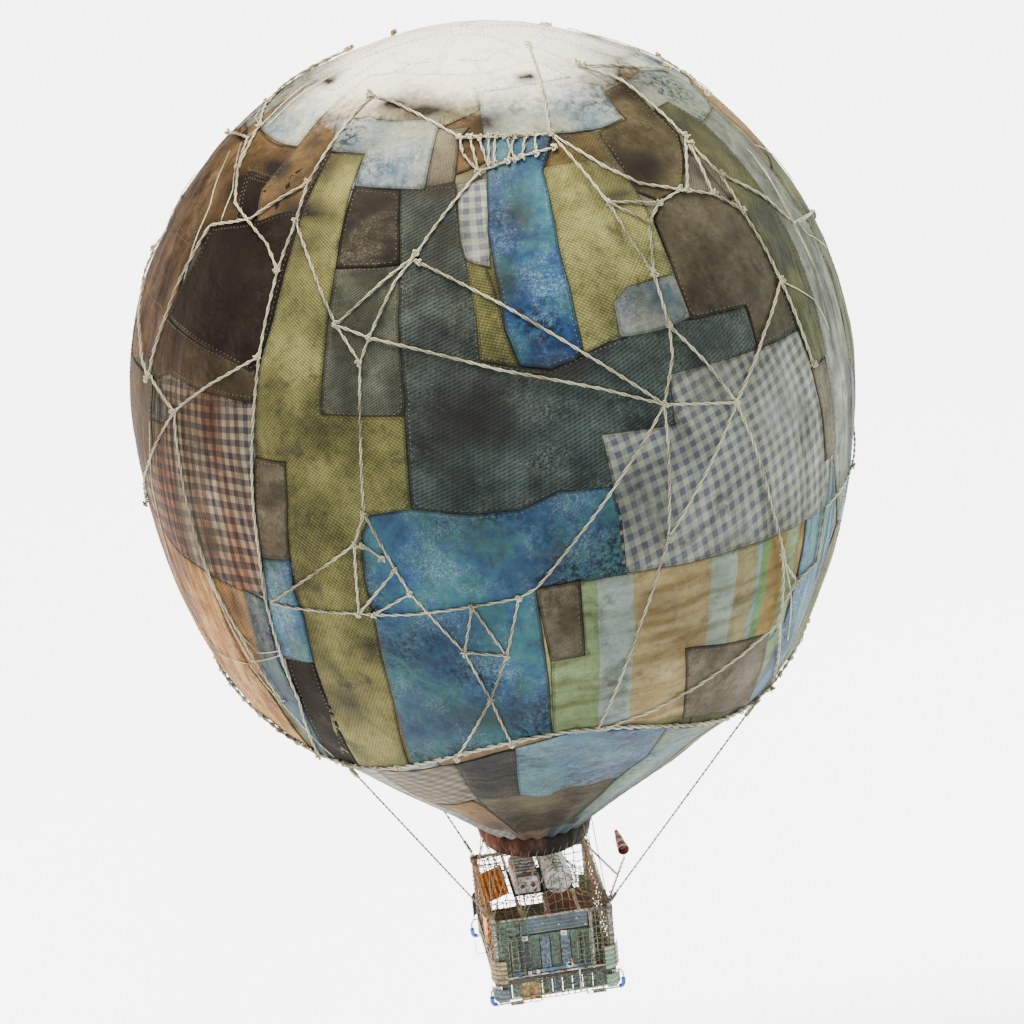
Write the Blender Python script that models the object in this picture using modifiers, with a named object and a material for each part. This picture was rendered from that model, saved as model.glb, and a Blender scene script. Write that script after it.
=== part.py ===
import math

import bmesh
import bpy
from mathutils import Matrix, Vector

# A patchwork hot air balloon with an open, rope-netted gondola.
# Metres, +Z up, front of the gondola towards -Y, +X to its right.
# The origin is the centre of the envelope's widest circle, where the air holds it.

GAP = 0.0003
SEAT_GAP = 0.0006

# Envelope: half a sphere above the widest circle, half an ellipsoid below it.
ENVELOPE_R = 5.6
ENVELOPE_DROP = 7.3
SHELL = 0.010
SEGMENTS = 48
UPPER_ROWS = 8
LOWER_ROWS = 6

# The load ring hangs in four swags, low at the corners where the stays pull.
RING_Z = -4.24
RING_SWAG = 0.41
RING_TUBE = 0.032
RING_LIFT = 0.040
RING_SEAT = 0.0014
STAY_OUT = 0.011

# The mouth: a straight cone, a bowl-shaped skirt and the hoop it is laced to.
NECK_R = 0.93
NECK_Z = -7.44
CONE_ROWS = 4
HOOP_R = 0.84
HOOP_TUBE = 0.028
SKIRT_Z = -7.75
SKIRT_PROFILE = ((0.9298, 0.0), (0.926, 0.25), (0.905, 0.58), (0.87, 0.84), (HOOP_R, 1.0))

# Gondola: half width, half depth and the heights of its rim, floor and hem.
HALF_X = 0.955
HALF_Y = 1.2
RIM_Z = -8.71
FLOOR_TOP = -9.77
FLOOR_THICK = 0.09
HEM_Z = -10.14
FOOT_Z = -10.23
POST = 0.032
POST_TOP = -8.66
RAIL_R = 0.028
LEFT_RAIL_R = 0.036
PIPE_X = 0.47
PIPE_R = 0.022
HEM_TUBE = 0.018
STAY_R = 0.019
MOUTH_STAY_R = 0.012
NET_ROPE = 0.034
STAYS = {
    "front_left": (-135.0, -1, -1),
    "front_right": (-42.0, 1, -1),
    "back_right": (42.0, 1, 1),
    "back_left": (135.0, -1, 1),
}

# Front gate: slats between two rails, dropping outwards on the hinge rod.
GATE_LEFT = -0.72
GATE_RIGHT = 0.60
GATE_TOP = -9.00
GATE_BOTTOM = -9.696
GATE_BACK = -1.203
GATE_SLAT_THICK = 0.022
GATE_RAIL_THICK = 0.0247
GATE_SLATS = 8
SLAT_GAP = 0.0171
GATE_POST_X = 0.63
GATE_POST_HALF = 0.020
HINGE_Z = -9.73
HINGE_R = 0.014
HINGE_Y = -HALF_Y - POST - GAP - HINGE_R
KNUCKLE_R = 0.026
KNUCKLE_BORE = 0.01465

# Burner gear on its tray, over the two pipes.
TRAY_THICK = 0.012
TRAY_Z = RIM_Z + PIPE_R + GAP
GEAR_Z = TRAY_Z + TRAY_THICK + GAP
CYLINDER_R = 0.20
VALVE_R = 0.045
BAND_HALF = 0.02
BAND_RISE = 0.006
HEATER_RIBS = 7
BATTEN = 0.012
CYLINDER_X = 0.25

# Windsock on its leaning pole at the front right.
POLE_R = 0.016
POLE_Y = -1.10
POLE_X = HALF_X + 0.33
POLE_TOP = -7.91
SOCK_R = 0.092
SOCK_Z = POLE_TOP + 0.135
SOCK_LENGTH = 0.68


def clear_scene():
    for thing in list(bpy.data.objects):
        bpy.data.objects.remove(thing)


def collection(name):
    group = bpy.data.collections.new(name)
    bpy.context.scene.collection.children.link(group)
    return group


def material(name, colour, roughness, metallic=0.0):
    made = bpy.data.materials.new(name)
    made.use_nodes = True
    shader = made.node_tree.nodes["Principled BSDF"]
    shader.inputs["Base Color"].default_value = (*colour, 1.0)
    shader.inputs["Roughness"].default_value = roughness
    shader.inputs["Metallic"].default_value = metallic
    return made


def add_object(name, mesh, finish, group=None):
    thing = bpy.data.objects.new(name, mesh)
    (group or PARTS).objects.link(thing)
    mesh.materials.clear()
    if finish:
        mesh.materials.append(finish)
    return thing


def mesh_from(bm, name, smooth=False):
    mesh = bpy.data.meshes.new(name)
    bmesh.ops.recalc_face_normals(bm, faces=bm.faces)
    bm.to_mesh(mesh)
    bm.free()
    if smooth:
        mesh.shade_smooth()
        mesh.set_sharp_from_angle(angle=math.radians(40))
    return mesh


def evaluated_mesh(thing):
    bpy.context.view_layer.update()
    graph = bpy.context.evaluated_depsgraph_get()
    return bpy.data.meshes.new_from_object(thing.evaluated_get(graph))


def box(name, low, high, finish):
    """A plain box between two corners."""
    low = Vector(low)
    high = Vector(high)
    bm = bmesh.new()
    size = Matrix.Diagonal((*(high - low), 1.0))
    bmesh.ops.create_cube(bm, size=1.0, matrix=Matrix.Translation((low + high) / 2) @ size)
    return add_object(name, mesh_from(bm, name), finish)


def bar(name, start, end, radius, finish, sides=12, group=None, edge=(0, 0, 1)):
    """A straight round bar. One of its long edges faces the given direction."""
    start = Vector(start)
    end = Vector(end)
    along = (end - start).normalized()
    side = (Vector(edge) - along * along.dot(Vector(edge))).normalized()
    turn = Matrix((side, along.cross(side), along)).transposed().to_4x4()
    bm = bmesh.new()
    bmesh.ops.create_cone(
        bm, cap_ends=True, segments=sides, radius1=radius, radius2=radius,
        depth=(end - start).length, matrix=Matrix.Translation((start + end) / 2) @ turn,
    )
    return add_object(name, mesh_from(bm, name, smooth=True), finish, group)


def bent_bar(name, points, radius, finish):
    """A bent round bar through its corner points, made a mesh with welded caps."""
    curve = bpy.data.curves.new(name, "CURVE")
    curve.dimensions = "3D"
    curve.bevel_depth = radius
    curve.bevel_resolution = 2
    curve.render_resolution_u = 0
    curve.use_fill_caps = True
    spline = curve.splines.new("POLY")
    spline.points.add(len(points) - 1)
    for spot, point in zip(spline.points, points):
        spot.co = (*point, 1.0)
    guide = bpy.data.objects.new(name + "_curve", curve)
    PARTS.objects.link(guide)
    mesh = evaluated_mesh(guide)
    bpy.data.objects.remove(guide)
    bm = bmesh.new()
    bm.from_mesh(mesh)
    bmesh.ops.remove_doubles(bm, verts=bm.verts, dist=0.00005)
    bpy.data.meshes.remove(mesh)
    return add_object(name, mesh_from(bm, name, smooth=True), finish)


def ring(name, centre, major, minor, finish, sides=(24, 8), turn=None):
    """A round hoop of round section about Z, or turned by a matrix."""
    bpy.ops.mesh.primitive_torus_add(
        major_segments=sides[0], minor_segments=sides[1],
        major_radius=major, minor_radius=minor,
    )
    made = bpy.context.object
    mesh = made.data
    bpy.data.objects.remove(made)
    if turn:
        mesh.transform(turn)
    mesh.transform(Matrix.Translation(centre))
    mesh.shade_smooth()
    return add_object(name, mesh, finish)


def turned(name, profile, steps, closed=False):
    """A profile of (radius, height) points, top to bottom, turned about Z."""
    mesh = bpy.data.meshes.new(name)
    bm = bmesh.new()
    spots = [bm.verts.new((radius, 0.0, height)) for radius, height in profile]
    for first, second in zip(spots, spots[1:]):
        bm.edges.new((first, second))
    if closed:
        bm.edges.new((spots[-1], spots[0]))
    bm.to_mesh(mesh)
    bm.free()
    guide = bpy.data.objects.new(name + "_profile", mesh)
    PARTS.objects.link(guide)
    screw = guide.modifiers.new("turn", "SCREW")
    screw.steps = steps
    screw.render_steps = steps
    screw.use_merge_vertices = True
    screw.merge_threshold = 0.0001
    made = evaluated_mesh(guide)
    bpy.data.objects.remove(guide)
    return made


def solidify(thing, thickness, offset):
    wall = thing.modifiers.new("wall", "SOLIDIFY")
    wall.thickness = thickness
    wall.offset = offset
    wall.use_even_offset = True


def operand(thing, name, swell=0.0):
    """A hidden copy of a piece, swollen by a hair, for a Boolean."""
    copy = add_object(name, evaluated_mesh(thing), None, CUTTERS)
    copy.matrix_world = thing.matrix_world
    copy.hide_render = True
    copy.display_type = "WIRE"
    if swell:
        skin = copy.modifiers.new("swell", "DISPLACE")
        skin.mid_level = 0.0
        skin.strength = swell
    return copy


def seat(piece, *neighbours):
    """Trims a rope's or rod's end to the pieces that it meets."""
    for neighbour in neighbours:
        cut = piece.modifiers.new("seat", "BOOLEAN")
        cut.operation = "DIFFERENCE"
        cut.object = operand(neighbour, piece.name + "_on_" + neighbour.name, SEAT_GAP)


def weld(piece, *others, solver="EXACT"):
    """Joins further solids, which overlap it, to a piece."""
    for other in others:
        join = piece.modifiers.new("weld", "BOOLEAN")
        join.operation = "UNION"
        join.solver = solver
        join.object = other
        other.hide_render = True
        other.display_type = "WIRE"
        PARTS.objects.unlink(other)
        CUTTERS.objects.link(other)


def sheet_mesh(name, columns, rows, place):
    """A grid whose points place(u, v) sets, u and v from 0 to 1."""
    bm = bmesh.new()
    bmesh.ops.create_grid(bm, x_segments=columns, y_segments=rows, size=0.5)
    for spot in bm.verts:
        spot.co = place(spot.co.x + 0.5, spot.co.y + 0.5)
    mesh = bpy.data.meshes.new(name)
    bm.to_mesh(mesh)
    bm.free()
    return mesh


def panel_outline(name, outer, holes, front, thick, finish):
    """A flat upright panel in X and Z with rectangular gaps cut through it."""
    curve = bpy.data.curves.new(name, "CURVE")
    curve.dimensions = "2D"
    curve.fill_mode = "BOTH"
    curve.extrude = thick / 2
    for left, right, bottom, top in [outer, *holes]:
        spline = curve.splines.new("POLY")
        spline.points.add(3)
        corners = ((left, bottom), (right, bottom), (right, top), (left, top))
        for spot, (x, z) in zip(spline.points, corners):
            spot.co = (x, z, 0.0, 1.0)
        spline.use_cyclic_u = True
    guide = bpy.data.objects.new(name + "_outline", curve)
    PARTS.objects.link(guide)
    mesh = evaluated_mesh(guide)
    bpy.data.objects.remove(guide)
    mesh.transform(Matrix.Rotation(math.radians(90), 4, "X"))
    mesh.transform(Matrix.Translation((0.0, front + thick / 2, 0.0)))
    bm = bmesh.new()
    bm.from_mesh(mesh)
    bmesh.ops.remove_doubles(bm, verts=bm.verts, dist=0.00005)
    bpy.data.meshes.remove(mesh)
    return add_object(name, mesh_from(bm, name), finish)


def envelope_radius(height):
    reach = ENVELOPE_R if height > 0 else ENVELOPE_DROP
    return ENVELOPE_R * math.sqrt(max(0.0, 1.0 - (height / reach) ** 2))


def ring_height(azimuth):
    """Height of the envelope's hem: four swags around."""
    return RING_Z + RING_SWAG * math.cos(4 * azimuth)


def hem_frame(azimuth):
    """The hem's point, and the slope and outward directions there, on one azimuth."""
    low = ring_height(azimuth)
    high = low * (LOWER_ROWS - 1) / LOWER_ROWS
    foot = Vector((envelope_radius(low), low))
    slope = (Vector((envelope_radius(high), high)) - foot).normalized()
    out = Vector((slope.y, -slope.x))
    return foot, slope, out


def around(radius, azimuth, height):
    return Vector((radius * math.cos(azimuth), radius * math.sin(azimuth), height))


def make_envelope(finish):
    profile = []
    for row in range(UPPER_ROWS):
        climb = math.radians(90) * (1 - row / UPPER_ROWS)
        profile.append((ENVELOPE_R * math.cos(climb) if row else 0.0, ENVELOPE_R * math.sin(climb)))
    for row in range(LOWER_ROWS + 1):
        height = RING_Z * row / LOWER_ROWS
        profile.append((envelope_radius(height), height))
    mesh = turned("envelope", profile, SEGMENTS)
    for spot in mesh.vertices:
        azimuth = math.atan2(spot.co.y, spot.co.x)
        if spot.co.z < -0.001:
            height = spot.co.z / RING_Z * ring_height(azimuth)
            spot.co = around(envelope_radius(height), azimuth, height)
    mesh.shade_smooth()
    shell = add_object("envelope", mesh, finish)
    solidify(shell, SHELL, -1)
    return shell


def make_mouth_cone(finish):
    profile = []
    for row in range(CONE_ROWS + 1):
        profile.append((4.0 - row * 0.5, -row / CONE_ROWS))
    mesh = turned("mouth_cone", profile, SEGMENTS)
    for spot in mesh.vertices:
        azimuth = math.atan2(spot.co.y, spot.co.x)
        share = -spot.co.z
        top = ring_height(azimuth) - GAP
        radius = envelope_radius(top) * (1 - share) + NECK_R * share
        spot.co = around(radius, azimuth, top * (1 - share) + NECK_Z * share)
    mesh.shade_smooth()
    cone = add_object("mouth_cone", mesh, finish)
    solidify(cone, SHELL, 1)
    return cone


def make_load_ring(finish):
    """A rope ring of eight-sided section, lying on the envelope just above its hem."""
    far = 10.0
    middle = RING_TUBE * math.cos(math.radians(22.5)) + RING_SEAT
    profile = []
    for corner in range(8):
        turn = math.radians(112.5 - corner * 45)
        profile.append((far + middle + RING_TUBE * math.cos(turn), RING_LIFT + RING_TUBE * math.sin(turn)))
    mesh = turned("load_ring", profile, SEGMENTS, closed=True)
    for spot in mesh.vertices:
        azimuth = math.atan2(spot.co.y, spot.co.x)
        foot, slope, out = hem_frame(azimuth)
        place = foot + slope * spot.co.z + out * (math.hypot(spot.co.x, spot.co.y) - far)
        spot.co = around(place.x, azimuth, place.y)
    mesh.shade_smooth()
    return add_object("load_ring", mesh, finish)


def stay_end(azimuth):
    """A stay's end in the outer half of the load ring's tube, on the run between its corners."""
    step = math.radians(360 / SEGMENTS)
    low = math.floor(azimuth / step)
    share = azimuth / step - low
    ends = []
    for corner in (low, low + 1):
        foot, slope, out = hem_frame(corner * step)
        place = foot + slope * RING_LIFT + out * (RING_TUBE * 0.93 + STAY_OUT)
        ends.append(around(place.x, corner * step, place.y))
    return ends[0].lerp(ends[1], share)


def make_skirt(finish):
    profile = []
    for radius, share in SKIRT_PROFILE:
        profile.append((radius, NECK_Z - GAP + (SKIRT_Z - NECK_Z + GAP) * share))
    mesh = turned("skirt", profile, SEGMENTS)
    mesh.shade_smooth()
    skirt = add_object("skirt", mesh, finish)
    solidify(skirt, SHELL, -1)


def make_stays(finish, load_ring, posts):
    for name, (degrees, side_x, side_y) in STAYS.items():
        top = stay_end(math.radians(degrees))
        foot = Vector((side_x * HALF_X, side_y * HALF_Y, POST_TOP))
        foot -= (top - foot).normalized() * 0.016
        stay = bar("stay_" + name, foot, top, STAY_R, finish, sides=8)
        seat(stay, load_ring, posts[name])


def make_mouth_stays(finish, hoop, rails):
    hoop_z = SKIRT_Z - GAP - HOOP_TUBE
    for name, (degrees, side_x, side_y) in STAYS.items():
        azimuth = math.radians(35 if side_x > 0 else 145) * side_y
        rail = rails["right" if side_x > 0 else "left"]
        top = around(HOOP_R, azimuth, hoop_z)
        foot = Vector((side_x * HALF_X, side_y * 0.88, RIM_Z + 0.012))
        stay = bar("mouth_stay_" + name, foot, top, MOUTH_STAY_R, finish, sides=8)
        seat(stay, hoop, rail)


def make_frame(steel, wood):
    """Corner posts on the floor, and the four rails of the rim between them."""
    posts = {}
    for name, (degrees, side_x, side_y) in STAYS.items():
        x = side_x * HALF_X
        y = side_y * HALF_Y
        posts[name] = box(
            "post_" + name, (x - POST, y - POST, FLOOR_TOP + GAP), (x + POST, y + POST, POST_TOP), steel,
        )
    reach_x = HALF_X - POST - GAP
    reach_y = HALF_Y - POST - GAP
    rails = {
        "front": bar("rail_front", (-reach_x, -HALF_Y, RIM_Z), (reach_x, -HALF_Y, RIM_Z), RAIL_R, steel),
        "back": bar("rail_back", (-reach_x, HALF_Y, RIM_Z), (reach_x, HALF_Y, RIM_Z), RAIL_R, steel),
        "right": bar("rail_right", (HALF_X, -reach_y, RIM_Z), (HALF_X, reach_y, RIM_Z), RAIL_R, steel),
        "left": bar("rail_left", (-HALF_X, -reach_y, RIM_Z), (-HALF_X, reach_y, RIM_Z), LEFT_RAIL_R, wood),
    }
    box(
        "gate_post", (GATE_POST_X - GATE_POST_HALF, -HALF_Y - POST, FLOOR_TOP + GAP),
        (GATE_POST_X + GATE_POST_HALF, -HALF_Y + 0.012, RIM_Z - RAIL_R - GAP), steel,
    )
    return posts, rails


def make_floor(finish):
    reach_x = HALF_X + POST
    reach_y = HALF_Y + POST
    box("floor", (-reach_x, -reach_y, FLOOR_TOP - FLOOR_THICK), (reach_x, reach_y, FLOOR_TOP), finish)


def make_skid_frame(finish):
    """Four hem tubes, four short uprights, and a bent skid with its foot at each corner."""
    corners = ((-HALF_X, -HALF_Y), (HALF_X, -HALF_Y), (HALF_X, HALF_Y), (-HALF_X, HALF_Y))
    top = FLOOR_TOP - FLOOR_THICK - GAP
    half = POST
    x, y = corners[0]
    frame = box("skid_frame", (x - half, y - half, HEM_Z - half), (x + half, y + half, top), finish)
    for number, (x, y) in enumerate(corners):
        out = math.copysign(1.0, x)
        if number:
            upright = box(
                f"upright_{number}", (x - half, y - half, HEM_Z - half), (x + half, y + half, top), finish,
            )
            weld(frame, upright, solver="MANIFOLD")
        ahead_x, ahead_y = corners[(number + 1) % 4]
        tube = bar(f"hem_{number}", (x, y, HEM_Z), (ahead_x, ahead_y, HEM_Z), HEM_TUBE, finish, sides=8)
        path = [
            (x, y, top - 0.022),
            (x + out * 0.10, y, top - 0.022),
            (x + out * 0.14, y, top - 0.10),
            (x + out * 0.14, y, HEM_Z),
            (x + out * 0.09, y, FOOT_Z + 0.020),
            (x - out * 0.20, y, FOOT_Z + 0.018),
        ]
        rod = bent_bar(f"skid_{number}", path, 0.014, finish)
        inner = x - out * 0.38
        outer = x - out * 0.16
        foot = box(
            f"foot_{number}",
            (min(inner, outer), y - 0.06, FOOT_Z),
            (max(inner, outer), y + 0.06, FOOT_Z + 0.012),
            finish,
        )
        weld(frame, tube, rod, foot, solver="MANIFOLD")


def make_apron(slats, plate):
    """Slats between floor and hem below the gate, with a plate hung over them."""
    top = FLOOR_TOP - FLOOR_THICK - GAP
    bottom = HEM_Z + HEM_TUBE + GAP
    reach = HALF_X - POST - SEAT_GAP
    pitch = 2 * reach / 11
    holes = []
    for slot in range(1, 11):
        middle = -reach + slot * pitch
        holes.append((middle - 0.012, middle + 0.012, bottom + 0.03, top - 0.03))
    panel_outline("apron_slats", (-reach, reach, bottom, top), holes, -HALF_Y - 0.02, 0.016, slats)
    face = -HALF_Y - 0.0203
    box("apron_plate", (-0.60, face - 0.006, HEM_Z + 0.02), (-0.28, face, top - 0.01), plate)


def make_gate(slat_finish, top_finish, bottom_finish, latch_finish):
    """The drop gate: slatted panel, top rail, bottom rail with its knuckles, and ring latch."""
    width = (GATE_RIGHT - GATE_LEFT - (GATE_SLATS - 1) * SLAT_GAP) / GATE_SLATS
    holes = []
    for slot in range(1, GATE_SLATS):
        right = GATE_LEFT + slot * (width + SLAT_GAP)
        holes.append((right - SLAT_GAP, right, GATE_BOTTOM + 0.05, GATE_TOP - 0.05))
    slat_front = GATE_BACK - GATE_SLAT_THICK
    outer = (GATE_LEFT, GATE_RIGHT, GATE_BOTTOM, GATE_TOP)
    panel_outline("gate_slats", outer, holes, slat_front, GATE_SLAT_THICK, slat_finish)
    rail_back = slat_front - GAP
    rail_front = rail_back - GATE_RAIL_THICK
    low = (GATE_LEFT, rail_front, GATE_TOP - 0.07)
    box("gate_top_rail", low, (GATE_RIGHT, rail_back, GATE_TOP), top_finish)
    low = box(
        "gate_bottom_rail",
        (GATE_LEFT, rail_front, GATE_BOTTOM),
        (GATE_RIGHT, rail_back, GATE_BOTTOM + 0.056),
        bottom_finish,
    )
    for number, x in enumerate((-0.60, -0.06, 0.48)):
        leaf = box(
            f"leaf_{number}",
            (x - 0.03, HINGE_Y - 0.004, HINGE_Z + 0.017),
            (x + 0.03, HINGE_Y + 0.010, GATE_BOTTOM + 0.01),
            bottom_finish,
        )
        barrel = bar(
            f"barrel_{number}",
            (x - 0.035, HINGE_Y, HINGE_Z),
            (x + 0.035, HINGE_Y, HINGE_Z),
            KNUCKLE_R,
            bottom_finish,
        )
        weld(low, leaf, barrel)
    bore = bar(
        "gate_bore",
        (GATE_LEFT, HINGE_Y, HINGE_Z),
        (GATE_RIGHT, HINGE_Y, HINGE_Z),
        KNUCKLE_BORE,
        None,
        group=CUTTERS,
    )
    bore.hide_render = True
    bore.display_type = "WIRE"
    cut = low.modifiers.new("bore", "BOOLEAN")
    cut.operation = "DIFFERENCE"
    cut.object = bore
    turn = Matrix.Rotation(math.radians(90), 4, "X")
    ring(
        "gate_latch", (0.225, rail_front - GAP - 0.011, GATE_BOTTOM + 0.075), 0.045, 0.011, latch_finish,
        sides=(16, 8), turn=turn,
    )


def make_hinge(rod_finish, lever_finish):
    """The rod across the posts' front faces, and the hand lever that hangs on it."""
    reach = HALF_X - 0.025
    edge = (0, 1, 0)
    rod = bar(
        "hinge_rod", (-reach, HINGE_Y, HINGE_Z), (reach, HINGE_Y, HINGE_Z), HINGE_R, rod_finish, edge=edge,
    )
    lever = bar("gate_lever", (0.365, HINGE_Y, HINGE_Z), (0.395, HINGE_Y, HINGE_Z), 0.024, lever_finish)
    arm_foot = (0.368, HINGE_Y - 0.006, HINGE_Z - 0.44)
    arm = box("lever_arm", arm_foot, (0.392, HINGE_Y + 0.006, HINGE_Z), lever_finish)
    weld(lever, arm)
    seat(lever, rod)


def make_front_panels(striped, plain, board):
    """The corrugated striped sheet and the small plate hung on the front rail, and a fixed board."""
    back = -HALF_Y - RAIL_R - GAP
    top = RIM_Z
    bottom = -8.975
    waves = 4

    def striped_place(u, v):
        depth = 0.5 - 0.5 * math.cos(2 * math.pi * waves * v)
        return Vector((-0.53 + 1.11 * u, back - 0.024 * depth, bottom + (top - bottom) * v))

    sheet = add_object("striped_panel", sheet_mesh("striped_panel", 2, waves * 4, striped_place), striped)
    solidify(sheet, 0.006, 1)
    box("green_panel", (-0.90, back - 0.008, bottom), (-0.545, back, top + 0.005), plain)
    box(
        "front_board", (-0.92, GATE_BACK - GATE_SLAT_THICK, FLOOR_TOP + GAP),
        (-0.74, GATE_BACK, RIM_Z - RAIL_R - GAP), board,
    )


def make_net(name, corner, across, columns, rows, finish):
    """A square-meshed rope net hung between a rail and the floor."""
    corner = Vector(corner)
    across = Vector(across)
    rise = Vector((0, 0, across.z))
    across = Vector((across.x, across.y, 0))
    mesh = sheet_mesh(name, columns, rows, lambda u, v: corner + across * u + rise * v)
    net = add_object(name, mesh, finish)
    ropes = net.modifiers.new("ropes", "WIREFRAME")
    ropes.thickness = NET_ROPE
    ropes.use_boundary = True
    ropes.use_replace = True


def make_nets(finish):
    half = NET_ROPE / 2
    low = FLOOR_TOP + GAP + half
    high = RIM_Z - RAIL_R - GAP - half
    left_high = RIM_Z - LEFT_RAIL_R - GAP - half
    start_y = -HALF_Y + POST + half + 0.004
    start_x = -HALF_X + POST + half + 0.004
    make_net("net_left", (-HALF_X, start_y, low), (0, -2 * start_y, left_high - low), 11, 4, finish)
    make_net("net_right", (HALF_X, start_y, low), (0, -2 * start_y, high - low), 11, 4, finish)
    make_net("net_back", (start_x, HALF_Y, low), (-2 * start_x, 0, high - low), 9, 4, finish)
    first = GATE_POST_X + GATE_POST_HALF + half + 0.004
    last = HALF_X - POST - half - 0.004
    make_net("net_front", (first, -HALF_Y, low), (last - first, 0, high - low), 1, 4, finish)


def make_fender(name, side_x, side_y, bottom, top, waves, finish):
    """A corrugated sheet bent round a corner of the gondola, its hollows on the corner's edge."""
    centre_x = side_x * (HALF_X - 0.11)
    centre_y = side_y * (HALF_Y - 0.11)
    reach = math.hypot(0.11 + POST, 0.11 + POST) + GAP
    middle = math.atan2(side_y, side_x)
    span = math.radians(108)

    def place(u, v):
        azimuth = middle + (u - 0.5) * span
        radius = reach + 0.012 * (0.5 - 0.5 * math.cos(2 * math.pi * waves * v))
        height = bottom + (top - bottom) * v
        x = centre_x + radius * math.cos(azimuth)
        return Vector((x, centre_y + radius * math.sin(azimuth), height))

    sheet = add_object(name, sheet_mesh(name, 6, waves * 4, place), finish)
    solidify(sheet, 0.006, 1)


def make_fenders(left_high, left_low, right):
    upper = (-9.80, -9.38)
    lower = (-10.135, -9.905)
    make_fender("fender_front_left_upper", -1, -1, *upper, 5, left_high)
    make_fender("fender_front_left_lower", -1, -1, *lower, 3, left_low)
    make_fender("fender_front_right_upper", 1, -1, *upper, 5, right)
    make_fender("fender_front_right_lower", 1, -1, *lower, 3, right)
    make_fender("fender_back_left", -1, 1, *upper, 5, left_low)
    make_fender("fender_back_right", 1, 1, *upper, 5, right)


def make_heater(finish):
    """The heater block, with ribs across its top and two round ports in front."""
    left, right, front, back = -0.46, -0.04, -0.42, 0.38
    top = GEAR_Z + 0.30
    heater = box("heater", (left, front, GEAR_Z), (right, back, top), finish)
    edge = heater.modifiers.new("edge", "BEVEL")
    edge.width = 0.02
    edge.segments = 1
    parts = []
    for rib in range(HEATER_RIBS):
        y = front + 0.06 + rib * (back - front - 0.12) / (HEATER_RIBS - 1)
        low = (left + 0.03, y - 0.014, top - 0.01)
        parts.append(box(f"rib_{rib}", low, (right - 0.03, y + 0.014, top + 0.03), finish))
    for port, x in enumerate((left + 0.12, right - 0.12)):
        start = (x, front - 0.035, GEAR_Z + 0.16)
        parts.append(bar(f"port_{port}", start, (x, front + 0.02, GEAR_Z + 0.16), 0.062, finish))
    weld(heater, *parts)


def make_crate(finish):
    """The crate on the floor, with a batten frame near its foot and its top."""
    left, right, front, back = 0.08, 0.78, -0.30, 0.45
    crate = box("crate", (left, front, FLOOR_TOP + GAP), (right, back, FLOOR_TOP + 0.62), finish)
    battens = []
    for number, foot in enumerate((0.05, 0.49)):
        low = (left - BATTEN, front - BATTEN, FLOOR_TOP + foot)
        high = (right + BATTEN, back + BATTEN, FLOOR_TOP + foot + 0.09)
        battens.append(box(f"batten_{number}", low, high, finish))
    weld(crate, *battens)


def make_burner(pipe_finish, tray_finish, heater_finish, bottle_finish):
    """Two pipes across the rim, the tray on them, the heater and the gas cylinder."""
    reach = HALF_Y - RAIL_R - GAP
    for name, x in (("left", -PIPE_X), ("right", PIPE_X)):
        bar("pipe_" + name, (x, -reach, RIM_Z), (x, reach, RIM_Z), PIPE_R, pipe_finish)
    box("burner_tray", (-0.50, -0.45, TRAY_Z), (0.50, 0.45, TRAY_Z + TRAY_THICK), tray_finish)
    make_heater(heater_finish)
    profile = [(0.0, 0.655), (VALVE_R, 0.655), (VALVE_R, 0.60)]
    for climb in (72, 48, 24):
        turn = math.radians(climb)
        profile.append((CYLINDER_R * math.cos(turn), 0.48 + 0.12 * math.sin(turn)))
    profile.append((CYLINDER_R, 0.48))
    for band in (0.31, -0.31):
        profile.append((CYLINDER_R, band + BAND_HALF))
        profile.append((CYLINDER_R + BAND_RISE, band + BAND_HALF))
        profile.append((CYLINDER_R + BAND_RISE, band - BAND_HALF))
        profile.append((CYLINDER_R, band - BAND_HALF))
    profile.append((CYLINDER_R, -0.48))
    for climb in (24, 48, 72):
        turn = math.radians(climb)
        profile.append((CYLINDER_R * math.cos(turn), -0.48 - 0.12 * math.sin(turn)))
    profile.append((0.0, -0.60))
    mesh = turned("gas_cylinder", profile, 20)
    mesh.transform(Matrix.Rotation(math.radians(90), 4, "X"))
    mesh.transform(Matrix.Translation((CYLINDER_X, -0.02, GEAR_Z + CYLINDER_R + BAND_RISE)))
    mesh.shade_smooth()
    add_object("gas_cylinder", mesh, bottle_finish)


def make_lid(finish):
    """A corrugated sheet from the wooden rail over the gondola's left side."""
    waves = 5
    start = Vector((-HALF_X, 0, RIM_Z + LEFT_RAIL_R + GAP))

    def place(u, v):
        lift = 0.13 * u + 0.012 * (0.5 - 0.5 * math.cos(2 * math.pi * waves * u))
        return start + Vector((0.38 * u, -0.57 + 1.03 * v, lift))

    sheet = add_object("orange_lid", sheet_mesh("orange_lid", waves * 4, 1, place), finish)
    solidify(sheet, 0.004, 1)


def make_side_panel(finish):
    """A curved plate leaning on the outside of the left net."""
    net_face = HALF_X + NET_ROPE / 2 + GAP
    radius = 0.25
    half = math.radians(35)
    centre = -net_face + radius * math.cos(half)

    def place(u, v):
        azimuth = math.pi + (0.5 - u) * 2 * half
        y = -0.3 - radius * math.sin(azimuth)
        return Vector((centre + radius * math.cos(azimuth), y, -9.50 + 0.5 * v))

    mesh = sheet_mesh("side_panel", 6, 1, place)
    sheet = add_object("side_panel", mesh, finish)
    solidify(sheet, 0.006, 1)


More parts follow.
